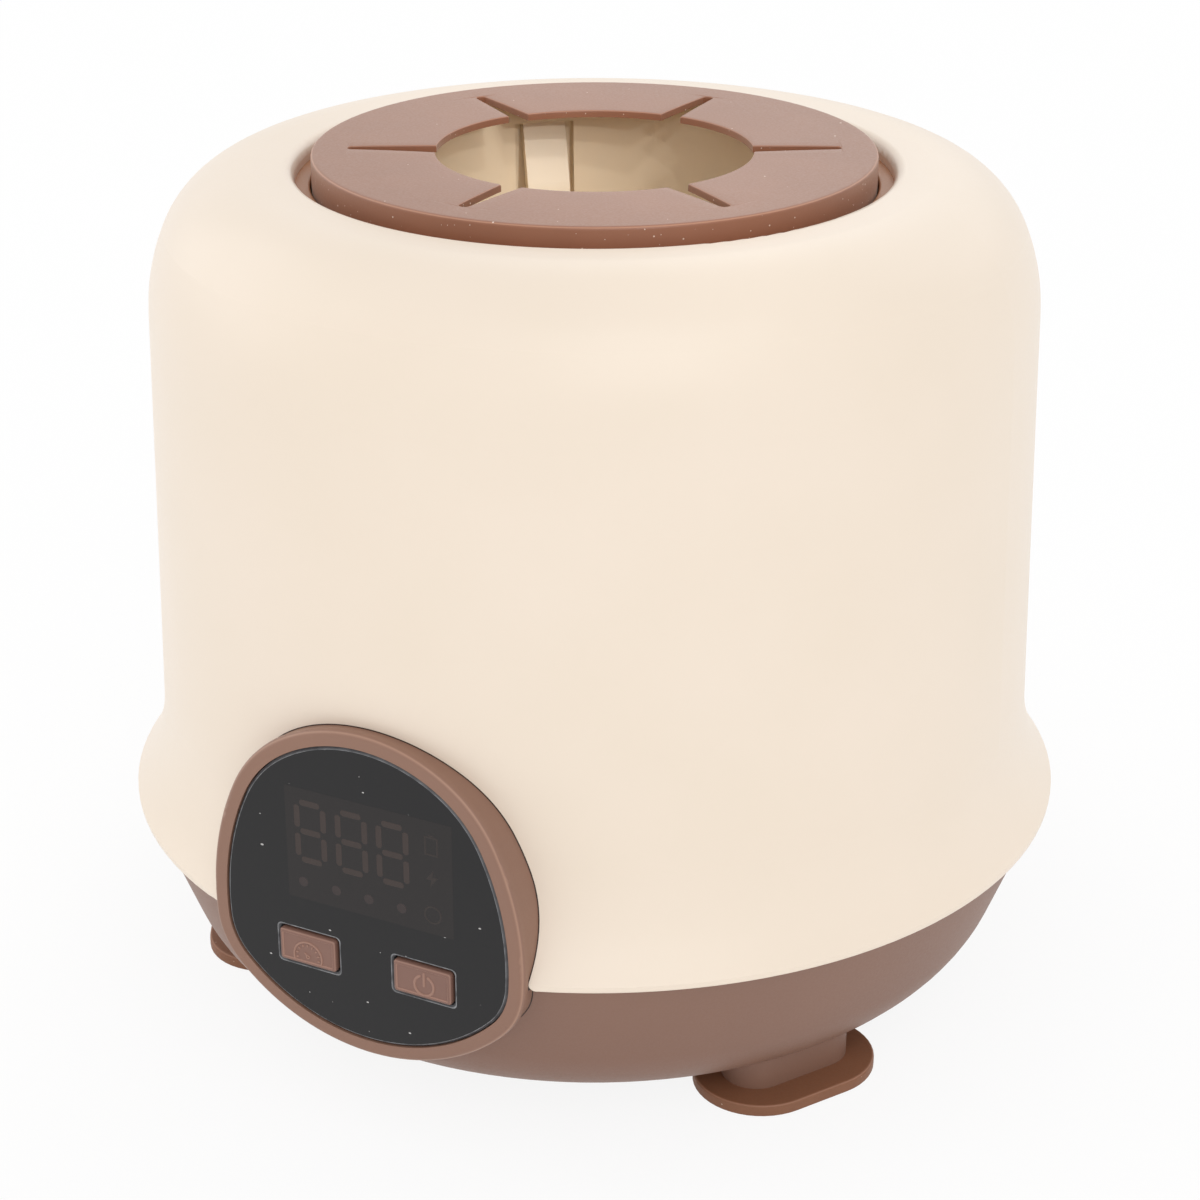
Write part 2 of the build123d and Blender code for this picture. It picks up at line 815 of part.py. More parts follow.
def drive_deck():
    """Carrier plate with the spindle hub, ribs, the motor seat and notches for the case bosses."""
    hub_radius = bush_radius + hub_wall
    deck = rod(deck_radius, deck_bottom, deck_top)
    deck -= block(-deck_radius, deck_radius, -deck_radius, -deck_front, deck_bottom, deck_top)
    for angle in foot_angles:
        notch = boss_radius + deck_notch_gap
        gap = block(foot_radius, skirt_radius, -notch, notch, deck_bottom, deck_top)
        deck -= rod(notch, deck_bottom, deck_top, *polar(foot_radius, angle)) + Rot(0, 0, angle) * gap
    for angle in deck_rib_angles:
        half_rib = deck_rib_width / 2
        reach = deck_radius - deck_rib_margin
        rib = block(0, reach, -half_rib, half_rib, deck_bottom - deck_rib_height, deck_bottom)
        deck += Rot(0, 0, angle) * rib
    deck += rod(hub_radius, hub_bottom, hub_top)
    deck -= rod(bush_radius, hub_bottom, hub_top)
    deck -= rod(nose_radius + nose_gap, deck_bottom, deck_top, motor_x, motor_y)
    for x, y in motor_screw_places():
        deck -= rod(screw_radius, deck_bottom, deck_top, x, y)
    for angle in pillar_angles:
        deck -= rod(screw_radius, deck_bottom, deck_top, *polar(pillar_circle, angle))
    return deck


def deck_screws():
    """Four screws that hold the deck on the bowl's pillars."""
    screws = []
    for angle in pillar_angles:
        x, y = polar(pillar_circle, angle)
        head = rod(screw_head_radius, deck_top, deck_top + screw_head_height, x, y)
        screws.append(head + rod(screw_radius, deck_bottom - pillar_screw_grip, deck_top, x, y))
    return spread(screws)


# Motor

def motor_screw_places():
    """Plan positions of the two motor screws, across the line to the spindle."""
    dx, dy = polar(motor_screw_offset, motor_angle + 90.0)
    return [(motor_x + dx, motor_y + dy), (motor_x - dx, motor_y - dy)]


def motor_can():
    """Drawn steel can with a nose that centres it in the deck."""
    top = deck_bottom
    can = rod(motor_radius, motor_bottom, top, motor_x, motor_y)
    can -= rod(can_inner, motor_bottom, top - can_top, motor_x, motor_y)
    can += rod(nose_radius, top, top + nose_height, motor_x, motor_y)
    can -= rod(shaft_radius + shaft_fit, top - can_top, top + nose_height, motor_x, motor_y)
    for x, y in motor_screw_places():
        can -= rod(screw_radius, top - can_top, top, x, y)
    return can


def motor_end_cap():
    """Plug in the can's open end, with the shaft's lower bearing hole."""
    top = motor_bottom + end_cap_thickness
    cap = rod(can_inner, motor_bottom, top, motor_x, motor_y)
    return cap - rod(shaft_radius + shaft_fit, top - 2 * shaft_tail, top, motor_x, motor_y)


def magnet_bottom():
    """Height of the lower end of magnets and rotor."""
    room = motor_length - can_top - end_cap_thickness
    return motor_bottom + end_cap_thickness + (room - magnet_height) / 2


def motor_magnets():
    """Ring magnet inside the can."""
    low = magnet_bottom()
    return pipe(can_inner - magnet_wall, can_inner, low, low + magnet_height, motor_x, motor_y)


def rotor_core():
    """Wound core on the motor shaft."""
    low = magnet_bottom()
    radius = can_inner - magnet_wall - rotor_gap
    return pipe(shaft_radius, radius, low, low + magnet_height, motor_x, motor_y)


def motor_shaft():
    """Shaft from the end cap up through the can's nose and the pinion."""
    low = motor_bottom + end_cap_thickness - shaft_tail
    return rod(shaft_radius, low, gear_top + shaft_nose, motor_x, motor_y)


def motor_screws():
    """Two screws from the deck into the motor's face."""
    screws = []
    for x, y in motor_screw_places():
        head = rod(screw_head_radius, deck_top, deck_top + screw_head_height, x, y)
        screws.append(head + rod(screw_radius, deck_bottom - can_top, deck_top, x, y))
    return spread(screws)


# Control panel

def ear_screw_x():
    """Distance of the panel screws from the middle plane."""
    return panel_half_width() + barrel_width + ear_reach / 2


def ear_screw_hole(x, near, far):
    """Cylinder of a panel screw between two depths."""
    return panel_slab(Pos(x, -ear_drop) * Circle(screw_radius), near, far)


def ear_head_room(x):
    """Room for a panel screw's head in front of its ear."""
    seat = bezel_depth - ear_thickness
    room = Pos(x, -ear_drop) * Circle(screw_head_radius + ear_head_gap)
    return panel_slab(room, seat - screw_head_height - ear_head_gap, seat)


def board_screw_places():
    """Positions of the board's screws on the panel."""
    low = panel_top - board_screw_low_drop
    high = panel_top - board_screw_high_drop
    return [(-board_screw_spread, low), (board_screw_spread, low), (0.0, high)]


def button_places():
    """Positions of the left and the right button on the panel."""
    up = panel_top - button_drop
    return (-button_spread, up), (button_spread, up)


def panel_bezel():
    """Ring with a barrel behind it, a shelf for the window, board bosses and two ears."""
    bezel = panel_slab(panel_outline(bezel_width), 0, ring_depth)
    bezel = fillet(bezel.edges().group_by(Axis.Y)[0], bezel_fillet)
    bezel += panel_slab(panel_outline(barrel_width), ring_depth, bezel_depth)
    bezel -= panel_slab(panel_outline(lens_gap), 0, bezel_depth)
    shelf = panel_outline(lens_gap) - panel_outline(-shelf_width)
    bezel += panel_slab(shelf, lens_back, shelf_back)
    inner = panel_outline(lens_gap)
    for x, y in board_screw_places():
        boss = (Pos(x, y) * Circle(board_boss_radius)) & inner
        bezel += panel_slab(boss, lens_back, board_front)
        hole = Pos(x, y) * Circle(board_screw_radius)
        bezel -= panel_slab(hole, board_back - board_screw_grip, board_front)
    start = panel_half_width() + barrel_width / 2
    stop = panel_half_width() + barrel_width + ear_reach
    for side in (-1, 1):
        middle = side * (start + stop) / 2
        ear = Pos(middle, -ear_drop) * Rectangle(stop - start, ear_height)
        bezel += panel_slab(ear, bezel_depth - ear_thickness, bezel_depth)
        bezel -= ear_screw_hole(side * ear_screw_x(), bezel_depth - ear_thickness, bezel_depth)
    return bezel


def panel_screws():
    """Two screws through the bezel's ears into the bowl's posts."""
    screws = []
    seat = bezel_depth - ear_thickness
    for x in (-ear_screw_x(), ear_screw_x()):
        head = panel_slab(Pos(x, -ear_drop) * Circle(screw_head_radius), seat - screw_head_height, seat)
        screws.append(head + ear_screw_hole(x, seat, bezel_depth + ear_screw_grip))
    return spread(screws)


def display_lens():
    """Window with a bevelled edge and a bevelled hole for each button."""
    lens = panel_slab(panel_outline(0), lens_recess, lens_back)
    lens = chamfer(lens.edges().group_by(Axis.Y)[0], lens_chamfer)
    for x, y in button_places():
        hole = Pos(x, y) * RectangleRounded(
            button_width + 2 * button_gap, button_height + 2 * button_gap, button_corner + button_gap
        )
        lens -= panel_slab(hole, lens_recess, lens_back)
    front = lens.faces().sort_by(Axis.Y)[0]
    rims = [edge for wire in front.inner_wires() for edge in wire.edges()]
    return chamfer(rims, lens_rim_chamfer)


def control_board():
    """Circuit board behind the window."""
    board = panel_slab(panel_outline(-board_inset), board_front, board_back)
    for x, y in board_screw_places():
        board -= panel_slab(Pos(x, y) * Circle(board_screw_radius), board_front, board_back)
    return board


def board_screws():
    """Three screws that hold the board on the bezel's bosses."""
    screws = []
    for x, y in board_screw_places():
        head = panel_slab(Pos(x, y) * Circle(board_screw_head), board_back, bezel_depth)
        shank = Pos(x, y) * Circle(board_screw_radius)
        screws.append(head + panel_slab(shank, board_back - board_screw_grip, board_back))
    return spread(screws)


def led_display():
    """Numeric display block between board and window."""
    outline = Pos(led_across, panel_top - led_drop) * Rectangle(led_width, led_height)
    return panel_slab(outline, lens_back + led_gap, board_front)


def push_button(place):
    """Button cap with a flange behind the window and a stem to its switch."""
    x, y = place
    cap = Pos(x, y) * RectangleRounded(button_width, button_height, button_corner)
    button = panel_slab(cap, -button_proud, flange_front)
    button = fillet(button.edges().group_by(Axis.Y)[0], button_edge)
    flange = Pos(x, y) * RectangleRounded(
        button_width + 2 * button_flange, button_height + 2 * button_flange, button_corner + button_flange
    )
    button += panel_slab(flange, flange_front, flange_back)
    return button + panel_slab(Pos(x, y) * Circle(stem_radius), flange_back, plunger_top)


def switch_plunger(place):
    """Plunger of a switch, under the button's stem."""
    x, y = place
    return panel_slab(Pos(x, y) * Circle(plunger_radius), plunger_top, switch_top + plunger_depth)


def switch_housings():
    """Bodies of the two switches on the board."""
    housings = []
    for x, y in button_places():
        body = panel_slab(Pos(x, y) * Rectangle(switch_size, switch_size), switch_top, board_front)
        bore = Pos(x, y) * Circle(plunger_radius + plunger_fit)
        depth = switch_top + plunger_depth + button_travel + plunger_room
        housings.append(body - panel_slab(bore, switch_top, depth))
    return spread(housings)


# Battery and charging inlet

tray_bottom = bowl_floor + rail_height
cell_z = tray_bottom + tray_floor + cell_gap + cell_radius
cell_rows = (-pack_offset - cell_pitch / 2, -pack_offset + cell_pitch / 2)


def lying_rod(radius, length, y, z):
    """Cylinder along X through the middle plane."""
    return Pos(0, y, z) * Rot(0, 90, 0) * Cylinder(radius, length)


def battery_cells():
    """Two round cells side by side."""
    return spread([lying_rod(cell_radius, cell_length, y, cell_z) for y in cell_rows])


def battery_tray():
    """Tray with two saddles for the cells."""
    front = -pack_offset - tray_reach
    rear = -pack_offset + tray_reach
    top = tray_bottom + tray_depth
    half = tray_half_length
    tray = block(-half, half, front, rear, tray_bottom, top)
    inner = half - tray_wall
    tray -= block(-inner, inner, front, rear, tray_bottom + tray_floor, top)
    for y in cell_rows:
        tray -= lying_rod(cell_radius + cell_gap, 2 * half, y, cell_z)
    return tray


def charge_socket():
    """Hollow metal socket with its contact tongue."""
    plane = inlet_plane(inlet_floor - socket_length)
    outer = extrude(plane * SlotOverall(socket_width, socket_height), socket_length)
    hollow = SlotOverall(socket_width - 2 * socket_wall, socket_height - 2 * socket_wall)
    cavity = extrude(plane.offset(socket_floor) * hollow, socket_length)
    contact = extrude(plane * Rectangle(tongue_width, tongue_thickness), socket_length - tongue_recess)
    return outer - cavity + contact


def charge_board():
    """Upright circuit board that carries the socket."""
    front = inlet_floor - socket_length
    half_width = charge_board_width / 2
    low = inlet_z - charge_board_height / 2
    return block(-half_width, half_width, front - board_thickness, front, low, low + charge_board_height)


left_button, right_button = button_places()
nodes = {
    "outer_shell": outer_shell(),
    "base_bowl": base_bowl(),
    "foot_pad_right": foot_pad(foot_angles[0]),
    "foot_pad_rear": foot_pad(foot_angles[1]),
    "foot_pad_left": foot_pad(foot_angles[2]),
    "base_screws": base_screws(),
    "grip_collar": grip_collar(),
    "bottle_cup": bottle_cup(),
    "cup_gear": cup_gear(),
    "cup_screws": cup_screws(),
    "motor_pinion": motor_pinion(),
    "spindle": spindle(),
    "spindle_clip": spindle_clip(),
    "upper_bush": bush(hub_top, hub_top - bush_length),
    "lower_bush": bush(hub_bottom - bush_flange, hub_bottom),
    "thrust_washer": thrust_washer(),
    "drive_deck": drive_deck(),
    "deck_screws": deck_screws(),
    "motor_can": motor_can(),
    "motor_magnets": motor_magnets(),
    "motor_end_cap": motor_end_cap(),
    "rotor_core": rotor_core(),
    "motor_shaft": motor_shaft(),
    "motor_screws": motor_screws(),
    "panel_bezel": panel_bezel(),
    "panel_screws": panel_screws(),
    "display_lens": display_lens(),
    "led_display": led_display(),
    "control_board": control_board(),
    "board_screws": board_screws(),
    "switch_housings": switch_housings(),
    "mode_button": push_button(left_button),
    "mode_plunger": switch_plunger(left_button),
    "power_button": push_button(right_button),
    "power_plunger": switch_plunger(right_button),
    "battery_cells": battery_cells(),
    "battery_tray": battery_tray(),
    "charge_socket": charge_socket(),
    "charge_board": charge_board(),
}

os.makedirs("parts", exist_ok=True)
for name, solid in nodes.items():
    export_step(solid, f"parts/{name}.step")
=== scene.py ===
import json
from math import atan2, cos, hypot, pi, radians, sin, sqrt, tan, tau

import bmesh
import bpy
from mathutils import Matrix, Vector


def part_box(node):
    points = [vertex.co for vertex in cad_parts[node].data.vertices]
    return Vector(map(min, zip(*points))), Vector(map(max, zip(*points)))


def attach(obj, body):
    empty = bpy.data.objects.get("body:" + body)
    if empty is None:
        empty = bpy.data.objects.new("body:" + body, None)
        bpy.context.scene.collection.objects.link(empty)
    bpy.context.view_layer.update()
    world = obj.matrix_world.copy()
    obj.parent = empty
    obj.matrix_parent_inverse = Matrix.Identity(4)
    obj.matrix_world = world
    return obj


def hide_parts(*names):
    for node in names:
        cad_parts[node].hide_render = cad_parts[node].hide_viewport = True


# Looks of a baby formula mixer. Metres and degrees, +Z up, the panel towards -Y.

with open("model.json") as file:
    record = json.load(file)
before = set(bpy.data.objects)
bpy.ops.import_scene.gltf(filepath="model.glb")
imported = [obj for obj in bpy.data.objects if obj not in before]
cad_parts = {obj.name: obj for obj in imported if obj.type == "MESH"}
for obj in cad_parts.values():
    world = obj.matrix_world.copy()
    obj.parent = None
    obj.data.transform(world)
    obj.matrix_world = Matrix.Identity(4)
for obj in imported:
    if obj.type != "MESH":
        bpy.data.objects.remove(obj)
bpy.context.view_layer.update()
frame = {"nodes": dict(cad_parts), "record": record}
record = frame["record"]
MM = 0.001

# Rounded edges: shares of the radius in from the edge, close together where the edge is steep
ROUNDING = (0.0, 0.03, 0.12, 0.28, 0.5, 0.75, 1.0)

# Collar
collar_low, collar_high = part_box("grip_collar")
collar_radius = collar_high.x
collar_top = collar_high.z
lip_bottom = collar_low.z
hole_radius = next(m["dims"]["r_mm"] for m in record["mounts"] if m["name"] == "bottle_grip") * MM
rim_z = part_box("bottle_cup")[1].z
LIP_WALL = 0.95 * MM
LIP_STEP = 0.6 * MM
COLLAR_EDGE = 0.5 * MM
HOLE_EDGE = 0.22 * MM
SLIT_EDGE = 0.22 * MM
SLIT_COUNT = 6
SLIT_PHASE = 27.5
SLIT_TIP_RADIUS = 37.4 * MM
SLIT_TIP_HALF = 0.85 * MM
SLIT_MOUTH_HALF = 1.75 * MM
SLIT_TIP_CENTRE = SLIT_TIP_RADIUS - SLIT_TIP_HALF
SLIT_SLOPE = (SLIT_MOUTH_HALF - SLIT_TIP_HALF) / (SLIT_TIP_CENTRE - hole_radius)
FLAP_SAG = 0.25 * MM
SAG_EVEN = 0.7
SAG_VARIED = 0.3
SAG_TURN = 2.4
FLAP_ROWS = 12
TIP_ROWS = 8
FLAP_COLUMNS = 14
ROW_APART = 1e-6
TOUCHING = 1e-7

# Backing of the cup's fingers
CUP_RADIUS = 39.4 * MM
CUP_TAPER = 2.0
FINGER_COUNT = 3
FINGER_PHASE = 10.5
BACKING_HALF = 6.2 * MM
BACKING_WALL = 0.7 * MM
BACKING_GAP = 0.03 * MM
BACKING_DROP = (3.2 * MM, 53.6 * MM)
BACKING_COLUMNS = 12

# Ring in the gap round the collar, whose pale brown stands in for the collar's reflection on the shell's
# mouth
shell_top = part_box("outer_shell")[1].z
MOUTH_RING_RADII = (43.05 * MM, 45.38 * MM)
MOUTH_RING_DROP = 2.7 * MM
MOUTH_RING_WALL = 1.2 * MM
MOUTH_RING_EDGE = 0.4 * MM
MOUTH_RING_SIDES = 192

# Foot pads
PAD_EDGE = 0.45 * MM
PAD_HEEL = 0.4 * MM
PAD_THICKNESS = 2.0 * MM
PAD_DISH = 0.35 * MM
PAD_RIM = 2.0 * MM
PAD_SLOPE = 1.5 * MM
PAD_MIDDLE = 9.0 * MM

# Window and its unlit marks, places counted down from the window's top
lens_low, lens_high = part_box("display_lens")
lens_front = lens_low.y
lens_top = lens_high.z
FIELD_SPAN = (-12.8 * MM, 15.0 * MM)
FIELD_DROP = (8.4 * MM, 26.6 * MM)
DIGIT_MIDDLES = (-8.6 * MM, -1.66 * MM, 5.18 * MM)
DIGIT_WIDTH = 4.45 * MM
DIGIT_TOP = 10.69 * MM
DIGIT_STEP = 4.65 * MM
SEGMENT_HALF = 0.48 * MM
SEGMENT_GAP = 0.52 * MM
SEGMENT_BEVEL = 0.6
SEGMENT_BLUNT = 0.4
DOT_ACROSS = (-10.2 * MM, -4.57 * MM, 0.93 * MM, 6.43 * MM)
DOT_DROP = 23.75 * MM
DOT_RADIUS = 0.78 * MM
ICON_ACROSS = 11.6 * MM
ICON_LINE = 0.26 * MM
BATTERY_DROP = 12.4 * MM
BATTERY_SIZE = (2.2 * MM, 3.0 * MM)
KNOB_HALF = 0.2
KNOB_GAP = 0.25
BOLT_DROP = 17.6 * MM
BOLT_SIZE = (1.9 * MM, 2.8 * MM)
BOLT_SHAPE = ((0.15, -0.5), (-0.5, 0.08), (-0.05, 0.08), (-0.15, 0.5), (0.5, -0.1), (0.05, -0.1))
RING_DROP = 23.5 * MM
RING_RADIUS = 1.45 * MM
MARK_DEPTH = 0.05 * MM
FIELD_PROUD = 0.008 * MM
MARK_PROUD = 0.016 * MM

# Rims painted pale on the window as highlights of its bevels, steps out from a button's side and in from the
# window's edge
HOLE_RIM = (0.5 * MM, 0.66 * MM)
HOLE_CORNER = 0.8 * MM
EDGE_RIM = (0.39 * MM, 0.47 * MM)

# Panel outline, radius and sweep of each arc from the top round to the lower corner, and the painted shadow
# along its joint
PANEL_ARCS = ((23.6 * MM, 34.3), (19.0 * MM, 30.7), (42.4 * MM, 28.8), (10.2 * MM, 40.1))
JOINT_SPAN = (2.12 * MM, 2.24 * MM)
JOINT_PROUD = 0.06 * MM
JOINT_DEPTH = 0.5 * MM
RAY_START = 0.2

# Buttons: a rounded rim round a face that lies a little lower, with a raised sign
KEY_FLANGE = 0.9 * MM
KEY_FLANGE_GAP = 0.2 * MM
KEY_FLANGE_THICKNESS = 1.2 * MM
KEY_CORNER = 0.5 * MM
KEY_CORNER_LEAST = 0.1 * MM
KEY_EDGE = 0.45 * MM
KEY_RIM = 0.5 * MM
KEY_RAMP = 0.64 * MM
KEY_MIDDLE = 1.5 * MM
KEY_DISH = 0.15 * MM
KEY_STEM = 1.6 * MM
STEM_OVERLAP = 0.2 * MM
GAUGE_RADIUS = 2.4 * MM
GAUGE_DROP = 1.2 * MM
GAUGE_SPAN = (-22.0, 202.0)
GAUGE_LINE = 0.17 * MM
TICK_COUNT = 9
TICK_SPAN = (-10.0, 190.0)
TICK_REACH = (1.78 * MM, 1.98 * MM)
TICK_LINE = 0.13 * MM
HUB_RADIUS = 0.24 * MM
HUB_SPAN = (0.0, 340.0)
HUB_POINTS = 16
NEEDLE = 0.7 * MM
NEEDLE_ANGLE = 132.0
POWER_PLACE = (0.3 * MM, -0.5 * MM)
POWER_RADIUS = 1.6 * MM
POWER_UP = 90.0
POWER_GAP = 26.0
POWER_BAR = 1.95 * MM
POWER_LINE = 0.25 * MM

# Textures: noise by the size of its features and its detail, specks by spacing, size and share,
# painted edge highlights and sides by the axis that the surface faces, how far it faces along it, and a width
NOISE_SPAN = (0.3, 0.7)
FLOW = (28.0 * MM, 2.0)
MOULD_SPECKS = (9.0 * MM, 0.16 * MM, 0.3)
MOULD_DETAIL = 3.0
MOULD_SPREAD = 0.05
FRONT_EDGE_HIGHLIGHTS = ("Y", 0.7, 0.22)
BLOOM = (9.0 * MM, 4.0)
LINT = (2.6 * MM, 0.18 * MM, 0.45)
SIDE_LINT = (0.9 * MM, 0.15 * MM, 0.6)
TOP_EDGE_HIGHLIGHTS = ("Z", 0.7, 0.25)
SIDES = ("Z", 0.0, 0.4)
SILICONE_GRAIN = (0.35 * MM, 4.0)
SILICONE_DEPTH = 0.012 * MM
SILICONE_SPREAD = 0.06
SHEEN_ROUGHNESS = 0.5
SHEEN_TINT = (1.0, 0.88, 0.78, 1.0)
METAL_GRAIN = (0.25 * MM, 4.0)
METAL_DEPTH = 0.004 * MM
METAL_SPREAD = 0.08

# Window glass
WINDOW_IOR = 1.44
WINDOW_TONES = ((10, 9, 11), (14, 12, 14))
WINDOW_CLOUD = (12.0 * MM, 2.0)
WINDOW_DUST = (3.5 * MM, 0.15 * MM, 0.42)
DUST_TONE = (190, 188, 186)
DUST_STRETCH = 0.55
SMEAR = (7.0 * MM, 4.0)
SMEAR_SPAN = (0.06, 0.12)
# Bevels of the window: where they turn from the front, the tones of the highlight painted on them and the
# patches it varies in
BEVEL_FACING = -0.95
BEVEL_HIGHLIGHT_TONES = ((52, 53, 56), (116, 117, 120))
BEVEL_PATCH_SPAN = (0.25, 0.75)
HIGHLIGHT_PATCHES = (1.6 * MM, 5.0)
FROST_ROUGHNESS = 0.35
MARK_CLOUD = (1.5 * MM, 2.0)

# Stage
WHITE = (1.0, 1.0, 1.0, 1.0)
FLOOR_RADIUS = 6.0
FLOOR_SIDES = 96
FLOOR_TONES = ((0.97, 0.97, 0.97, 1.0), (0.99, 0.99, 0.99, 1.0))
FLOOR_CLOUD = (0.4, 2.0)
FLOOR_ROUGHNESS = 0.9
FLOOR_WHITE = 0.88
TENT = 0.78

# Soft lamps: name, place, width, height and power
LAMP_TARGET = (0.0, 0.0, 0.08)
LAMPS = (
    ("front", (1.0, -1.2, 1.1), 1.6, 1.4, 7.5),
    ("left", (-1.7, -0.3, 0.9), 2.2, 1.6, 7.0),
    ("rear", (0.2, 1.6, 1.2), 2.4, 1.4, 5.0),
)

# Narrow lamps that reach into the cup
WELL_TARGET = (0.0, 0.0, 0.134)
WELL_DISTANCE = 1.8
WELL_TURN = -43.0
WELL_RISES = (19.0, 28.0, 40.0)
WELL_CONE = 1.8
WELL_SOFTNESS = 0.02
WELL_POWER = 20.0

# Camera
CAMERA_PLACE = Vector((0.1889, -0.3628, 0.2408))
CAMERA_PITCH = 23.89
CAMERA_LENS = 82.69
SENSOR = 36.0
FRAME_SHIFT = 0.0045


# Materials


def srgb(red, green, blue):
    """Linear colour of a screen colour from 0 to 255."""

    def linear(value):
        share = value / 255
        return share / 12.92 if share <= 0.04045 else ((share + 0.055) / 1.055) ** 2.4

    return linear(red), linear(green), linear(blue), 1.0


class Surface:
    """One material's node tree, with short calls for the textures that the finishes share."""

    def __init__(self, name):
        self.material = bpy.data.materials.new(name)
        self.material.use_nodes = True
        self.tree = self.material.node_tree
        self.shader = self.tree.nodes["Principled BSDF"]
        self.place = self.tree.nodes.new("ShaderNodeTexCoord").outputs["Object"]

    def node(self, kind, inputs=None, **settings):
        """New node with its settings; an input is a value or another node's output."""
        node = self.tree.nodes.new(kind)
        for key, value in settings.items():
            setattr(node, key, value)
        for key, value in (inputs or {}).items():
            if isinstance(value, bpy.types.NodeSocket):
                self.tree.links.new(value, node.inputs[key])
            else:
                node.inputs[key].default_value = value
        return node

    def set(self, values):
        """Fixed values on the shader's own sockets."""
        for key, value in values.items():
            self.shader.inputs[key].default_value = value

    def feed(self, socket, output):
        """Link a node's output to one of the shader's sockets."""
        self.tree.links.new(output, self.shader.inputs[socket])

    def noise(self, size, detail):
        """Noise with features of a size, between 0 and 1."""
        inputs = {"Vector": self.place, "Scale": 1.0 / size, "Detail": detail}
        return self.node("ShaderNodeTexNoise", inputs).outputs["Fac"]

    def span(self, value, low, high):
        """A noise value spread over a range."""
        start, stop = NOISE_SPAN
        inputs = {"Value": value, "From Min": start, "From Max": stop, "To Min": low, "To Max": high}
        return self.node("ShaderNodeMapRange", inputs).outputs["Result"]

    def math(self, operation, first, second):
        """Result of one operation on two values."""
        node = self.node("ShaderNodeMath", {0: first, 1: second}, operation=operation)
        return node.outputs[0]

    def mix(self, factor, first, second):
        """Colour between two others; the sockets 0, 6 and 7 are those of a colour mix."""
        node = self.node("ShaderNodeMix", {0: factor, 6: first, 7: second}, data_type="RGBA")
        return node.outputs[2]

    def facing(self, axis):
        """How far the surface faces along an axis, from -1 to 1."""
        normal = self.node("ShaderNodeNewGeometry").outputs["Normal"]
        return self.node("ShaderNodeSeparateXYZ", {"Vector": normal}).outputs[axis]

    def crest(self, axis, middle, width):
        """Mask of rounded edges: where the surface leans between facing along an axis and across it."""
        off = self.math("SUBTRACT", self.math("ABSOLUTE", self.facing(axis), 0.0), middle)
        inputs = {"Value": self.math("ABSOLUTE", off, 0.0), "From Max": width, "To Min": 1.0, "To Max": 0.0}
        return self.node("ShaderNodeMapRange", inputs).outputs["Result"]

    def specks(self, spacing, size, share, flat=False):
        """Mask of small scattered specks, in a share of cells of the given spacing."""
        place = self.place
        if flat:
            axes = self.node("ShaderNodeSeparateXYZ", {"Vector": place}).outputs
            drawn = self.math("MULTIPLY", axes["X"], DUST_STRETCH)
            place = self.node("ShaderNodeCombineXYZ", {"X": drawn, "Y": axes["Z"]}).outputs["Vector"]
        inputs = {"Vector": place, "Scale": 1.0 / spacing}
        cells = self.node("ShaderNodeTexVoronoi", inputs, voronoi_dimensions="2D" if flat else "3D")
        random = self.node("ShaderNodeSeparateColor", {"Color": cells.outputs["Color"]})
        reach = self.math("MULTIPLY", random.outputs["Green"], size / spacing)
        near = self.math("LESS_THAN", cells.outputs["Distance"], reach)
        chosen = self.math("LESS_THAN", random.outputs["Red"], share)
        return self.math("MULTIPLY", near, chosen)

    def relief(self, height, depth):
        """Bump of a real depth, from a value between 0 and 1."""
        bump = self.node("ShaderNodeBump", {"Height": height, "Distance": depth, "Strength": 1.0})
        self.feed("Normal", bump.outputs["Normal"])


def moulded(name, colour, shade, roughness, grain, depth, speck=None, edge=None):
    """Moulded plastic: faint flow marks, a fine grain, moulded-in specks and a highlight painted paler along
    rounded edges.
    """
    surface = Surface(name)
    flow = surface.mix(surface.span(surface.noise(*FLOW), 0.0, 1.0), srgb(*colour), srgb(*shade))
    if speck:
        flow = surface.mix(surface.specks(*MOULD_SPECKS), flow, srgb(*speck))
    # Painted highlight: the edge colour where the surface leans halfway between facing front and facing
    # sideways
    if edge:
        flow = surface.mix(surface.crest(*FRONT_EDGE_HIGHLIGHTS), flow, srgb(*edge))
    surface.feed("Base Color", flow)
    fine = surface.noise(grain, MOULD_DETAIL)
    surface.feed("Roughness", surface.span(fine, roughness - MOULD_SPREAD, roughness + MOULD_SPREAD))
    surface.relief(fine, depth)
    return surface.material


def silicone(name, colour, shade, dust, edge, roughness, sheen):
    """Soft silicone with a dusty bloom, caught lint and a highlight painted paler along rounded edges."""
    surface = Surface(name)
    bloom = surface.mix(surface.span(surface.noise(*BLOOM), 0.0, 1.0), srgb(*colour), srgb(*shade))
    # Painted highlight: the edge colour where the surface leans halfway between facing up and facing sideways
    painted_edge_highlight = surface.mix(surface.crest(*TOP_EDGE_HIGHLIGHTS), bloom, srgb(*edge))
    side = surface.math("MULTIPLY", surface.specks(*SIDE_LINT), surface.crest(*SIDES))
    lint = surface.math("MAXIMUM", surface.specks(*LINT), side)
    surface.feed("Base Color", surface.mix(lint, painted_edge_highlight, srgb(*dust)))
    fine = surface.noise(*SILICONE_GRAIN)
    surface.feed("Roughness", surface.span(fine, roughness - SILICONE_SPREAD, roughness + SILICONE_SPREAD))
    surface.set({"Sheen Weight": sheen, "Sheen Roughness": SHEEN_ROUGHNESS, "Sheen Tint": SHEEN_TINT})
    surface.relief(fine, SILICONE_DEPTH)
    return surface.material


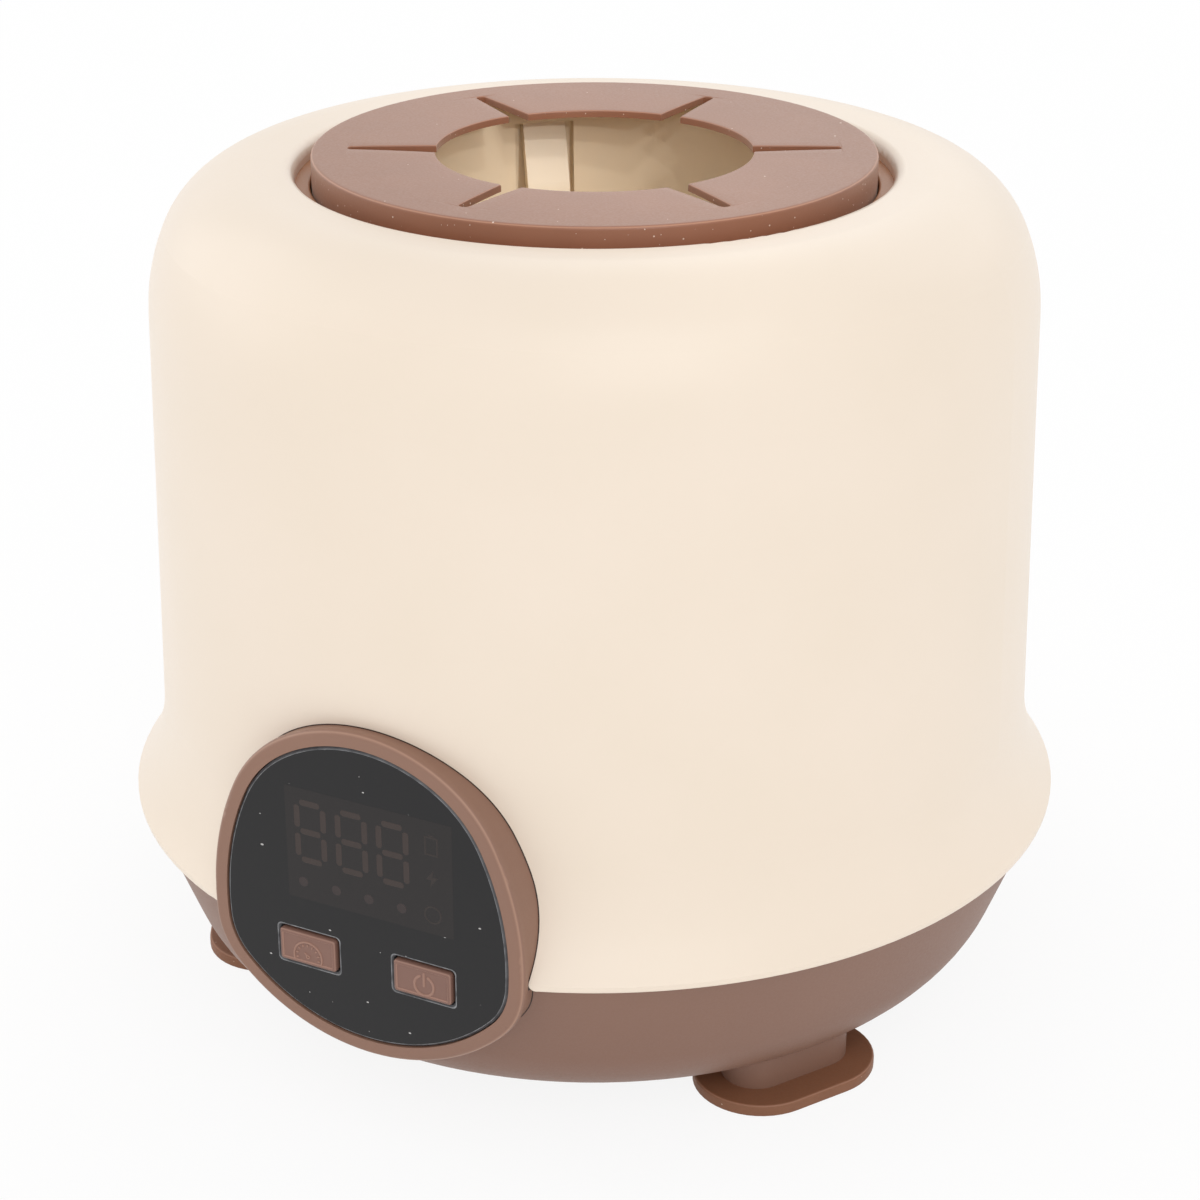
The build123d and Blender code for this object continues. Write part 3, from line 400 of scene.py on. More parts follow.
def window(name):
    """Black gloss window: bevels painted pale as a highlight of light passing through the clear edge, dust
    and faint smears.
    """
    surface = Surface(name)
    surface.set({"IOR": WINDOW_IOR})
    # Painted highlight: the bevels, where the surface turns from the front, get a pale grey in patches
    bevel = surface.math("GREATER_THAN", surface.facing("Y"), BEVEL_FACING)
    dust = surface.specks(*WINDOW_DUST, flat=True)
    highlight_patches = surface.span(surface.noise(*HIGHLIGHT_PATCHES), *BEVEL_PATCH_SPAN)
    edge = surface.mix(highlight_patches, *[srgb(*tone) for tone in BEVEL_HIGHLIGHT_TONES])
    glass = surface.mix(surface.noise(*WINDOW_CLOUD), *[srgb(*tone) for tone in WINDOW_TONES])
    dusty = surface.mix(dust, glass, srgb(*DUST_TONE))
    surface.feed("Base Color", surface.mix(bevel, dusty, edge))
    smear = surface.span(surface.noise(*SMEAR), *SMEAR_SPAN)
    frost = surface.math("MULTIPLY", bevel, FROST_ROUGHNESS)
    surface.feed("Roughness", surface.math("MAXIMUM", smear, frost))
    return surface.material


def painted_highlight(name, colour, shade):
    """Rough pale rim painted on the window as a highlight of its bevels, brighter in patches."""
    surface = Surface(name)
    highlight_patches = surface.span(surface.noise(*HIGHLIGHT_PATCHES), 0.0, 1.0)
    surface.feed("Base Color", surface.mix(highlight_patches, srgb(*colour), srgb(*shade)))
    surface.set({"Roughness": FROST_ROUGHNESS})
    return surface.material


def unlit(name, colour, shade):
    """Unlit marking seen through the window's gloss."""
    surface = Surface(name)
    surface.set({"IOR": WINDOW_IOR})
    surface.feed("Base Color", surface.mix(surface.noise(*MARK_CLOUD), srgb(*colour), srgb(*shade)))
    surface.feed("Roughness", surface.span(surface.noise(*SMEAR), *SMEAR_SPAN))
    return surface.material


def metal(name, colour, shade, roughness):
    """Plain metal with a drawn grain."""
    surface = Surface(name)
    surface.set({"Metallic": 1.0})
    grain = surface.noise(*METAL_GRAIN)
    surface.feed("Base Color", surface.mix(grain, srgb(*colour), srgb(*shade)))
    surface.feed("Roughness", surface.span(grain, roughness - METAL_SPREAD, roughness + METAL_SPREAD))
    surface.relief(grain, METAL_DEPTH)
    return surface.material


# Finishes of the record's material slots: colour, shade, roughness, grain size and depth for plastic, then
# specks and a painted edge highlight where given; colour, shade, lint, painted edge highlight, roughness and
# sheen for silicone
finishes = {
    "cream_plastic": moulded(
        "cream_plastic", (242, 227, 210), (240, 225, 207), 0.34, 0.5 * MM, 0.0015 * MM, (196, 176, 150)
    ),
    "cream_cup_plastic": moulded(
        "cream_cup_plastic", (251, 231, 200), (249, 228, 196), 0.4, 0.5 * MM, 0.006 * MM
    ),
    "brown_plastic": moulded(
        "brown_plastic", (136, 101, 84), (132, 98, 82), 0.5, 0.4 * MM, 0.01 * MM, (170, 144, 130)
    ),
    # The edge colour is a highlight painted along the bezel's rounded edges
    "brown_bezel_plastic": moulded(
        "brown_bezel_plastic",
        (143, 107, 89),
        (139, 104, 87),
        0.46,
        0.35 * MM,
        0.01 * MM,
        edge=(168, 130, 110),
    ),
    # The last colour is a highlight painted along the button's rounded rim and edges
    "brown_key_plastic": moulded(
        "brown_key_plastic", (132, 97, 84), (128, 94, 82), 0.46, 0.3 * MM, 0.01 * MM, None, (160, 122, 106)
    ),
    # The fourth colour is a highlight painted along the collar's rounded edges
    "brown_silicone": silicone(
        "brown_silicone", (145, 94, 68), (140, 90, 65), (228, 210, 196), (184, 134, 108), 0.42, 0.25
    ),
    # The fourth colour is a highlight painted along the pads' rounded edges
    "brown_foot_silicone": silicone(
        "brown_foot_silicone", (138, 92, 65), (132, 88, 62), (200, 172, 152), (160, 114, 90), 0.6, 0.0
    ),
    "black_window": window("black_window"),
    "dark_plastic": moulded("dark_plastic", (40, 39, 40), (34, 33, 34), 0.5, 0.4 * MM, 0.01 * MM),
    "circuit_board": moulded("circuit_board", (30, 92, 58), (26, 82, 50), 0.4, 1.2 * MM, 0.02 * MM),
    "white_plastic": moulded("white_plastic", (232, 232, 228), (226, 226, 221), 0.45, 0.5 * MM, 0.008 * MM),
    "bronze": metal("bronze", (196, 158, 96), (180, 140, 82), 0.4),
    "steel": metal("steel", (196, 197, 200), (176, 178, 182), 0.3),
    "iron": metal("iron", (92, 92, 94), (76, 76, 78), 0.5),
    "cell_wrap": moulded("cell_wrap", (52, 96, 150), (46, 88, 140), 0.35, 0.6 * MM, 0.01 * MM),
}

# Finishes of pieces that only this scene has
# Pale brown that stands in for the collar's reflection on the shell's mouth, with a painted edge highlight
mouth_reflection_finish = silicone(
    "brown_mouth_reflection_silicone", (180, 124, 82), (174, 119, 78), (214, 190, 170), (186, 132, 92), 0.4, 0.0
)
field_finish = unlit("display_field", (29, 24, 23), (26, 21, 21))
mark_finish = unlit("display_marks", (58, 46, 42), (53, 42, 38))
dot_finish = unlit("display_dots", (54, 43, 42), (49, 39, 38))
icon_finish = unlit("display_icons", (46, 37, 34), (42, 34, 31))
# Pale grey rims painted as highlights of the window's bevels
rim_highlight_finish = painted_highlight("window_rim_highlights", (60, 60, 64), (146, 147, 150))
# Near-black brown that paints the shadow in the joint between the panel and the housing
joint_shadow_finish = moulded("panel_joint_shadow", (58, 44, 38), (50, 38, 33), 0.7, 0.4 * MM, 0.01 * MM)
# Paler than the button, a highlight painted on the sign's raised lines
sign_highlight_finish = moulded("key_sign_highlights", (160, 122, 106), (155, 118, 103), 0.5, 0.3 * MM, 0.01 * MM)


def dress_solids():
    """Give each CAD solid the finish of its material slot."""
    for row in record["subparts"]:
        for material_slot in frame["nodes"][row["node"]].material_slots:
            material_slot.material = finishes[row["material_slot"]]


# Mesh helpers


def finished(name, bm, body, finish, sharp=35.0):
    """Object from a bmesh, smooth up to an angle, that rides on a body."""
    bmesh.ops.recalc_face_normals(bm, faces=bm.faces)
    mesh = bpy.data.meshes.new(name)
    bm.to_mesh(mesh)
    bm.free()
    mesh.polygons.foreach_set("use_smooth", [True] * len(mesh.polygons))
    mesh.set_sharp_from_angle(angle=radians(sharp))
    mesh.materials.append(finish)
    piece = bpy.data.objects.new(name, mesh)
    bpy.context.scene.collection.objects.link(piece)
    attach(piece, body)
    return piece


def verts(bm, places):
    """New vertices at places."""
    return [bm.verts.new(place) for place in places]


def skin(bm, loops, closed=True):
    """Quads between loops of as many vertices each."""
    count = len(loops[0])
    steps = range(count if closed else count - 1)
    for first, second in zip(loops, loops[1:]):
        for n in steps:
            m = (n + 1) % count
            bm.faces.new((first[n], first[m], second[m], second[n]))


def capped(bm, loops):
    """Quads between loops, with a face over the first and the last."""
    skin(bm, loops)
    bm.faces.new(loops[0])
    bm.faces.new(loops[-1])


def rounded_drop(distance, radius):
    """How far a rounded edge lies below its flat, at a distance in from the edge."""
    inside = radius - min(max(distance, 0.0), radius)
    return radius - sqrt(radius**2 - inside**2)


# Outlines


def circle(across, down, radius, count=32):
    """Outline of a disc."""
    angles = [tau * n / count for n in range(count)]
    return [(across + radius * cos(a), down + radius * sin(a)) for a in angles]


def rectangle(left, top, right, bottom):
    """Outline of a rectangle."""
    return [(left, top), (right, top), (right, bottom), (left, bottom)]


def rounded_rectangle(width, height, corner, count=6):
    """Outline of a rectangle with rounded corners, anticlockwise."""
    points = []
    for n, (x, z) in enumerate(((1, 1), (-1, 1), (-1, -1), (1, -1))):
        for m in range(count + 1):
            angle = pi / 2 * (n + m / count)
            across = x * (width / 2 - corner) + corner * cos(angle)
            points.append((across, z * (height / 2 - corner) + corner * sin(angle)))
    return points


def stadium(length, width, count=24):
    """Outline of a slot, anticlockwise."""
    radius = width / 2
    reach = length / 2 - radius
    points = []
    for side, start in ((1, -pi / 2), (-1, pi / 2)):
        for n in range(count + 1):
            angle = start + pi * n / count
            points.append((side * reach + radius * cos(angle), radius * sin(angle)))
    return points


def arc_line(radius, start, stop, middle, count=40):
    """Points of an arc, angles counted from the right."""
    angles = [radians(start + (stop - start) * n / count) for n in range(count + 1)]
    return [(middle[0] + radius * cos(a), middle[1] + radius * sin(a)) for a in angles]


def panel_outline(grow, count=24):
    """Egg-shaped outline grown by a parallel offset, across and down from the window's top."""
    turns = [sum(sweep for radius, sweep in PANEL_ARCS[:n]) for n in range(len(PANEL_ARCS) + 1)]
    sines = [sin(radians(turn)) for turn in turns]
    across = sum(arc[0] * (end - start) for arc, start, end in zip(PANEL_ARCS, sines, sines[1:]))
    arcs = PANEL_ARCS + ((across / sines[-1], 180.0 - turns[-1]),)
    x, down = 0.0, -grow
    right = [(x, down)]
    for (radius, sweep), turn in zip(arcs, turns):
        reach = radius + grow
        start = radians(turn)
        for n in range(1, count + 1):
            end = radians(turn + sweep * n / count)
            right.append((x + reach * (sin(end) - sin(start)), down + reach * (cos(start) - cos(end))))
        x, down = right[-1]
    return right + [(-x, down) for x, down in reversed(right[1:-1])]


# Collar


def slit_half(radius):
    """Half the width of a slit at a radius, none beyond its rounded tip."""
    if radius >= SLIT_TIP_RADIUS:
        return 0.0
    if radius > SLIT_TIP_CENTRE:
        return sqrt(SLIT_TIP_HALF**2 - (radius - SLIT_TIP_CENTRE) ** 2)
    return SLIT_TIP_HALF + SLIT_SLOPE * (SLIT_TIP_CENTRE - radius)


def slit_distance(radius, across):
    """Distance from a slit's edge of a point beside the slit's middle line."""
    if radius > SLIT_TIP_CENTRE:
        return hypot(radius - SLIT_TIP_CENTRE, across) - SLIT_TIP_HALF
    return across - slit_half(radius)


def collar_rows():
    """Radii of the collar's rows, close together where an edge is rounded."""
    hole = [hole_radius + HOLE_EDGE * share for share in ROUNDING]
    flap = [hole_radius + (SLIT_TIP_CENTRE - hole_radius) * n / FLAP_ROWS for n in range(1, FLAP_ROWS)]
    tip = [SLIT_TIP_CENTRE + SLIT_TIP_HALF * sin(pi / 2 * n / TIP_ROWS) for n in range(TIP_ROWS + 1)]
    beyond = [SLIT_TIP_RADIUS + SLIT_EDGE * share for share in ROUNDING[2:]]
    lip = [collar_radius - LIP_WALL - LIP_STEP, collar_radius - LIP_WALL]
    edge = [collar_radius - COLLAR_EDGE * share for share in reversed(ROUNDING)]
    rows = sorted(hole + flap + tip + beyond + lip + edge)
    return [r for n, r in enumerate(rows) if n == 0 or r - rows[n - 1] > ROW_APART]


def flap_columns(radius):
    """Arc lengths from a slit's middle line, across the flap, to the next slit's middle line."""
    whole = radius * tau / SLIT_COUNT
    near = [slit_half(radius) + SLIT_EDGE * share for share in ROUNDING]
    inner = whole - 2 * near[-1]
    middle = [near[-1] + inner * n / FLAP_COLUMNS for n in range(1, FLAP_COLUMNS)]
    return near + middle + [whole - arc for arc in reversed(near)]


def flap_sag(radius, flap):
    """How far a flap droops at a radius, a little differently for each flap."""
    free = max(0.0, (SLIT_TIP_RADIUS - radius) / (SLIT_TIP_RADIUS - hole_radius))
    return FLAP_SAG * (SAG_EVEN + SAG_VARIED * sin(SAG_TURN * flap)) * free**2


def collar_loops(bm, flap, rows):
    """One flap's rows of vertices: over the top, round the lip and back underneath."""
    start = radians(SLIT_PHASE) + flap * tau / SLIT_COUNT
    lip_radius = collar_radius - LIP_WALL

    def row(radius, height):
        whole = radius * tau / SLIT_COUNT
        places = []
        for arc in flap_columns(radius):
            angle = start + arc / radius
            z = height(radius, min(arc, whole - arc))
            places.append((radius * cos(angle), radius * sin(angle), z))
        return verts(bm, places)

    def top(radius, across):
        drop = rounded_drop(collar_radius - radius, COLLAR_EDGE)
        drop += rounded_drop(radius - hole_radius, HOLE_EDGE)
        drop += rounded_drop(slit_distance(radius, across), SLIT_EDGE)
        return collar_top - drop - flap_sag(radius, flap)

    def under(radius, across):
        return rim_z - flap_sag(radius, flap)

    def hem(radius, across):
        return lip_bottom

    over = [row(radius, top) for radius in rows]
    lip = [row(collar_radius, hem), row(lip_radius, hem)]
    back = [row(radius, under) for radius in reversed(rows) if radius <= lip_radius + TOUCHING]
    return over, lip, back


def grip_collar():
    """Soft disc with six drooping flaps, rounded at every edge, and a lip over the cup's rim."""
    bm = bmesh.new()
    rows = collar_rows()
    cut = [n for n, radius in enumerate(rows) if radius <= SLIT_TIP_RADIUS + TOUCHING]
    for flap in range(SLIT_COUNT):
        over, lip, back = collar_loops(bm, flap, rows)
        skin(bm, over + lip + back + over[:1], closed=False)
        for side in (0, -1):
            upper = [over[n][side] for n in cut]
            lower = [back[-1 - n][side] for n in cut]
            skin(bm, [upper, lower], closed=False)
    bmesh.ops.remove_doubles(bm, verts=bm.verts, dist=TOUCHING)
    piece = finished("grip_collar_soft", bm, "collar", finishes["brown_silicone"])
    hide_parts("grip_collar")


# Backing of the cup's fingers


def finger_backing(number):
    """Curved plate behind a finger, on the outside of the cup's wall."""
    middle = radians(FINGER_PHASE + number * 360 / FINGER_COUNT)
    bm = bmesh.new()
    loops = []
    for drop in BACKING_DROP:
        inner = CUP_RADIUS - drop * tan(radians(CUP_TAPER)) + BACKING_GAP
        half = BACKING_HALF / inner
        spread = [half * (2 * n / BACKING_COLUMNS - 1) for n in range(BACKING_COLUMNS + 1)]
        arc = [(inner, turn) for turn in spread]
        arc += [(inner + BACKING_WALL, turn) for turn in reversed(spread)]
        height = rim_z - drop
        loops.append(verts(bm, [(r * cos(middle + turn), r * sin(middle + turn), height) for r, turn in arc]))
    skin(bm, loops)
    for loop in loops:
        for n in range(BACKING_COLUMNS):
            bm.faces.new((loop[n], loop[n + 1], loop[-2 - n], loop[-1 - n]))
    finished("finger_backing_%d" % number, bm, "cup", finishes["cream_cup_plastic"])


# Ring whose colour stands in for the collar's reflection in the shell's mouth


def mouth_reflection_ring():
    """Soft ring inside the shell's mouth, clear of the collar and the cup, its pale brown standing in for the
    collar's reflection.
    """
    inner, outer = MOUTH_RING_RADII
    top = shell_top - MOUTH_RING_DROP
    edge = [MOUTH_RING_EDGE * share for share in ROUNDING]
    profile = [(inner + step, top - rounded_drop(step, MOUTH_RING_EDGE)) for step in edge]
    profile += [(outer, top), (outer, top - MOUTH_RING_WALL), (inner, top - MOUTH_RING_WALL)]
    bm = bmesh.new()
    loops = []
    for radius, height in profile:
        loops.append(verts(bm, [(x, y, height) for x, y in circle(0.0, 0.0, radius, MOUTH_RING_SIDES)]))
    skin(bm, loops + loops[:1])
    finished("mouth_reflection_ring", bm, "housing", mouth_reflection_finish)


# Foot pads


def pad_profile():
    """Steps in from the pad's edge and heights, from the middle of the dished sole to the top."""
    sole = [(PAD_MIDDLE, PAD_DISH), (PAD_RIM + PAD_SLOPE, PAD_DISH), (PAD_RIM, 0.0)]
    heel = [PAD_HEEL * share for share in reversed(ROUNDING)]
    edge = [PAD_EDGE * share for share in ROUNDING]
    lower = [(step, rounded_drop(step, PAD_HEEL)) for step in heel]
    upper = [(step, PAD_THICKNESS - rounded_drop(step, PAD_EDGE)) for step in edge]
    return sole + lower + upper + [(PAD_MIDDLE, PAD_THICKNESS)]


def foot_pad(node, length, width):
    """Silicone pad with a dished sole and a rounded edge, its length across the line to the middle."""
    low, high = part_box(node)
    middle = (low + high) / 2
    turn = Matrix.Rotation(atan2(middle.y, middle.x) + pi / 2, 4, "Z")
    place = Matrix.Translation((middle.x, middle.y, 0.0)) @ turn
    bm = bmesh.new()
    loops = []
    for step, height in pad_profile():
        outline = stadium(length - 2 * step, width - 2 * step)
        loops.append(verts(bm, [place @ Vector((x, y, height)) for x, y in outline]))
    capped(bm, loops)
    piece = finished(node + "_soft", bm, "housing", finishes["brown_foot_silicone"])
    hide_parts(node)


# Unlit marks on the window


def window_loop(bm, outline, depth):
    """Vertices of an outline, given across and down from the window's top, at a depth behind its front."""
    return verts(bm, [(x, lens_front + depth, lens_top - down) for x, down in outline])


def plate(bm, outline, proud):
    """Thin closed plate set into the window."""
    capped(bm, [window_loop(bm, outline, depth) for depth in (-proud, MARK_DEPTH)])


def frame_mark(bm, outer, inner, proud):
    """Thin closed frame between two outlines of as many points, set into the window."""
    front = [window_loop(bm, outline, -proud) for outline in (outer, inner)]
    back = [window_loop(bm, outline, MARK_DEPTH) for outline in (outer, inner)]
    skin(bm, [front[0], front[1], back[1], back[0], front[0]])


def segment(first, second):
    """Outline of a display segment with blunt, bevelled ends."""
    a, b = Vector(first), Vector(second)
    along = (b - a).normalized()
    side = Vector((-along.y, along.x)) * SEGMENT_HALF
    bevel = along * SEGMENT_HALF * SEGMENT_BEVEL
    blunt = side * SEGMENT_BLUNT
    a += along * SEGMENT_GAP
    b -= along * SEGMENT_GAP
    upper = [a + blunt, a + bevel + side, b - bevel + side, b + blunt]
    lower = [b - blunt, b - bevel - side, a + bevel - side, a - blunt]
    return upper + lower


def digit_outlines(middle):
    """Seven segments of one numeral."""

    def corner(column, level):
        return middle + DIGIT_WIDTH * (column - 0.5), DIGIT_TOP + DIGIT_STEP * level

    bars = [segment(corner(0, level), corner(1, level)) for level in range(3)]
    posts = [segment(corner(c, level), corner(c, level + 1)) for c in range(2) for level in range(2)]
    return bars + posts


def icons(bm):
    """Battery, charging bolt and ring beside the numerals."""
    width, height = BATTERY_SIZE
    left, right = ICON_ACROSS - width / 2, ICON_ACROSS + width / 2
    top, bottom = BATTERY_DROP - height / 2, BATTERY_DROP + height / 2
    inner = rectangle(left + ICON_LINE, top + ICON_LINE, right - ICON_LINE, bottom - ICON_LINE)
    frame_mark(bm, rectangle(left, top, right, bottom), inner, MARK_PROUD)
    knob = KNOB_HALF * width
    rise = top - KNOB_GAP * ICON_LINE
    plate(bm, rectangle(ICON_ACROSS - knob, top - ICON_LINE, ICON_ACROSS + knob, rise), MARK_PROUD)
    wide, tall = BOLT_SIZE
    plate(bm, [(ICON_ACROSS + wide * x, BOLT_DROP + tall * down) for x, down in BOLT_SHAPE], MARK_PROUD)
    outer, inner = [circle(ICON_ACROSS, RING_DROP, RING_RADIUS - inset) for inset in (0.0, ICON_LINE)]
    frame_mark(bm, outer, inner, MARK_PROUD)


def display():
    """Field, unlit numerals, dots and icons of the display."""
    bm = bmesh.new()
    plate(bm, rectangle(FIELD_SPAN[0], FIELD_DROP[0], FIELD_SPAN[1], FIELD_DROP[1]), FIELD_PROUD)
    finished("display_field", bm, "housing", field_finish)

    bm = bmesh.new()
    for middle in DIGIT_MIDDLES:
        for outline in digit_outlines(middle):
            plate(bm, outline, MARK_PROUD)
    finished("display_numerals", bm, "housing", mark_finish)

    bm = bmesh.new()
    for across in DOT_ACROSS:
        plate(bm, circle(across, DOT_DROP, DOT_RADIUS), MARK_PROUD)
    finished("display_dots", bm, "housing", dot_finish)

    bm = bmesh.new()
    icons(bm)
    finished("display_icons", bm, "housing", icon_finish)


# Highlights painted as rims on the window, and the shadow painted along the panel's joint


def window_rim_highlights():
    """Rims painted pale round the button holes and along the window's edge, as highlights of their bevels."""
    bm = bmesh.new()
    for node in ("mode_button", "power_button"):
        low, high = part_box(node)
        middle = (low + high) / 2
        outlines = []
        for step in reversed(HOLE_RIM):
            width, height = [high[axis] - low[axis] - 2 * KEY_FLANGE + 2 * step for axis in (0, 2)]
            points = rounded_rectangle(width, height, HOLE_CORNER)
            outlines.append([(middle.x + x, lens_top - middle.z - z) for x, z in points])
        frame_mark(bm, outlines[0], outlines[1], FIELD_PROUD)
    frame_mark(bm, panel_outline(-EDGE_RIM[0]), panel_outline(-EDGE_RIM[1]), FIELD_PROUD)
    finished("window_rim_highlights", bm, "housing", rim_highlight_finish)


def housing_radius(height):
    """Radius of the shell or the bowl at a height, measured on the side, away from the panel."""
    reach = []
    for node in ("outer_shell", "base_bowl"):
        piece = frame["nodes"][node]
        back = piece.matrix_world.inverted()
        start = back @ Vector((RAY_START, 0.0, height))
        hit, place = piece.ray_cast(start, back.to_3x3() @ Vector((-1.0, 0.0, 0.0)))[:2]
        if hit:
            reach.append((piece.matrix_world @ place).x)
    return max(reach)


def panel_joint_shadow():
    """Dark strip painted as the shadow in the joint between the panel and the housing."""
    bm = bmesh.new()
    near, far = [panel_outline(step) for step in JOINT_SPAN]
    rows = ((near, -JOINT_PROUD), (far, -JOINT_PROUD), (far, JOINT_DEPTH), (near, JOINT_DEPTH))
    loops = []
    for outline, depth in rows:
        places = []
        for x, down in outline:
            surface = sqrt(housing_radius(lens_top - down) ** 2 - x**2)
            places.append((x, depth - surface, lens_top - down))
        loops.append(verts(bm, places))
    skin(bm, loops + loops[:1])
    finished("panel_joint_shadow", bm, "housing", joint_shadow_finish)


# Buttons


def key_profile(front):
    """Steps in from the cap's side and depths, from the middle of the face back to the flange."""
    flange_front = lens_high.y + KEY_FLANGE_GAP
    flange_back = flange_front + KEY_FLANGE_THICKNESS
    face = [(KEY_MIDDLE, front + KEY_DISH), (KEY_RAMP, front + KEY_DISH), (KEY_RIM, front)]
    steps = [KEY_EDGE * share for share in reversed(ROUNDING)]
    edge = [(step, front + rounded_drop(step, KEY_EDGE)) for step in steps]
    flange = [(0.0, flange_front), (-KEY_FLANGE, flange_front), (-KEY_FLANGE, flange_back)]
    return face + edge + flange


def bead(bm, line, radius, middle, depth, around=8, steps=3):
    """Raised rounded line with rounded ends, through points across and up from a button's middle."""
    places = [Vector((middle.x + x, depth, middle.z + z)) for x, z in line]
    out = Vector((0.0, -1.0, 0.0))
    angles = [tau * n / around for n in range(around)]
    turns = [pi / 2 * (m + 1) / (steps + 1) for m in range(steps)]

    def ring(place, side, size):
        return verts(bm, [place + (side * cos(a) + out * sin(a)) * size for a in angles])

    rings = []
    for n, place in enumerate(places):
        along = (places[min(n + 1, len(places) - 1)] - places[max(n - 1, 0)]).normalized()
        side = along.cross(out)
        if n == 0:
            rings += [ring(place - along * radius * sin(t), side, radius * cos(t)) for t in reversed(turns)]
        rings.append(ring(place, side, radius))
        if n == len(places) - 1:
            rings += [ring(place + along * radius * sin(t), side, radius * cos(t)) for t in turns]
    capped(bm, rings)


def gauge_lines():
    """Lines and half widths of a gauge sign: its arc, ticks, hub and needle."""
    hub = (0.0, -GAUGE_DROP)

    def spoke(angle, span):
        turn = radians(angle)
        return [(reach * cos(turn), reach * sin(turn) - GAUGE_DROP) for reach in span]

    lines = [(arc_line(GAUGE_RADIUS, *GAUGE_SPAN, hub), GAUGE_LINE)]
    first, last = TICK_SPAN
    for n in range(TICK_COUNT):
        lines.append((spoke(first + (last - first) * n / (TICK_COUNT - 1), TICK_REACH), TICK_LINE))
    lines.append((arc_line(HUB_RADIUS, *HUB_SPAN, hub, HUB_POINTS), TICK_LINE))
    lines.append((spoke(NEEDLE_ANGLE, (HUB_RADIUS, NEEDLE)), TICK_LINE))
    return lines


def power_lines():
    """Lines and half widths of a power sign: its open ring and bar."""
    x, z = POWER_PLACE
    ring = arc_line(POWER_RADIUS, POWER_UP + POWER_GAP, POWER_UP + 360.0 - POWER_GAP, POWER_PLACE)
    return [(ring, POWER_LINE), ([(x, z + POWER_BAR), (x, z)], POWER_LINE)]


def push_button(node, body, lines):
    """Button with a rounded rim, a raised sign, a flange behind the window and a stem."""
    low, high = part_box(node)
    middle = (low + high) / 2
    width = high.x - low.x - 2 * KEY_FLANGE
    height = high.z - low.z - 2 * KEY_FLANGE
    profile = key_profile(low.y)
    bm = bmesh.new()
    loops = []
    for step, depth in profile:
        corner = max(KEY_CORNER - step, KEY_CORNER_LEAST)
        outline = rounded_rectangle(width - 2 * step, height - 2 * step, corner)
        loops.append(verts(bm, [(middle.x + x, depth, middle.z + z) for x, z in outline]))
    capped(bm, loops)
    stem_front = profile[-1][1] - STEM_OVERLAP
    post = circle(middle.x, middle.z, KEY_STEM)
    capped(bm, [verts(bm, [(x, depth, z) for x, z in post]) for depth in (stem_front, high.y)])
    piece = finished(node + "_cap", bm, body, finishes["brown_key_plastic"])
    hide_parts(node)

    bm = bmesh.new()
    for line, half in lines:
        bead(bm, line, half, middle, low.y + half)
    finished(node + "_sign", bm, body, sign_highlight_finish)


# Stage


def background_rays(tree):
    """Mask of the rays that see the background itself: from the camera, in gloss and through glass."""
    rays = tree.nodes.new("ShaderNodeLightPath").outputs
    mask = rays["Is Camera Ray"]
    for kind in ("Is Glossy Ray", "Is Transmission Ray"):
        either = tree.nodes.new("ShaderNodeMath")
        either.operation = "MAXIMUM"
        tree.links.new(mask, either.inputs[0])
        tree.links.new(rays[kind], either.inputs[1])
        mask = either.outputs[0]
    return mask


def floor():
    """Large pale floor that shows the object's shadow softly."""
    bm = bmesh.new()
    bmesh.ops.create_circle(bm, cap_ends=True, radius=FLOOR_RADIUS, segments=FLOOR_SIDES)
    mesh = bpy.data.meshes.new("floor")
    bm.to_mesh(mesh)
    bm.free()
    surface = Surface("floor")
    surface.feed("Base Color", surface.mix(surface.noise(*FLOOR_CLOUD), *FLOOR_TONES))
    surface.set({"Roughness": FLOOR_ROUGHNESS, "Specular IOR Level": 0.0})
    share = surface.math("MULTIPLY", background_rays(surface.tree), FLOOR_WHITE)
    white = surface.node("ShaderNodeEmission", {"Color": WHITE, "Strength": 1.0})
    blend = surface.node("ShaderNodeMixShader", {0: share, 1: surface.shader.outputs[0], 2: white.outputs[0]})
    surface.tree.links.new(blend.outputs[0], surface.tree.nodes["Material Output"].inputs["Surface"])
    mesh.materials.append(surface.material)
    piece = bpy.data.objects.new("floor", mesh)
    bpy.context.scene.collection.objects.link(piece)


def aim(piece, place, target):
    """Put a lamp at a place, facing a point, unseen itself."""
    piece.location = place
    piece.rotation_euler = (Vector(target) - Vector(place)).to_track_quat("-Z", "Y").to_euler()
    piece.visible_camera = False
    bpy.context.scene.collection.objects.link(piece)


def softbox(name, place, target, width, height, power):
    """Large soft lamp that faces a point."""
    lamp = bpy.data.lights.new(name, "AREA")
    lamp.shape = "RECTANGLE"
    lamp.size = width
    lamp.size_y = height
    lamp.energy = power
    aim(bpy.data.objects.new(name, lamp), place, target)


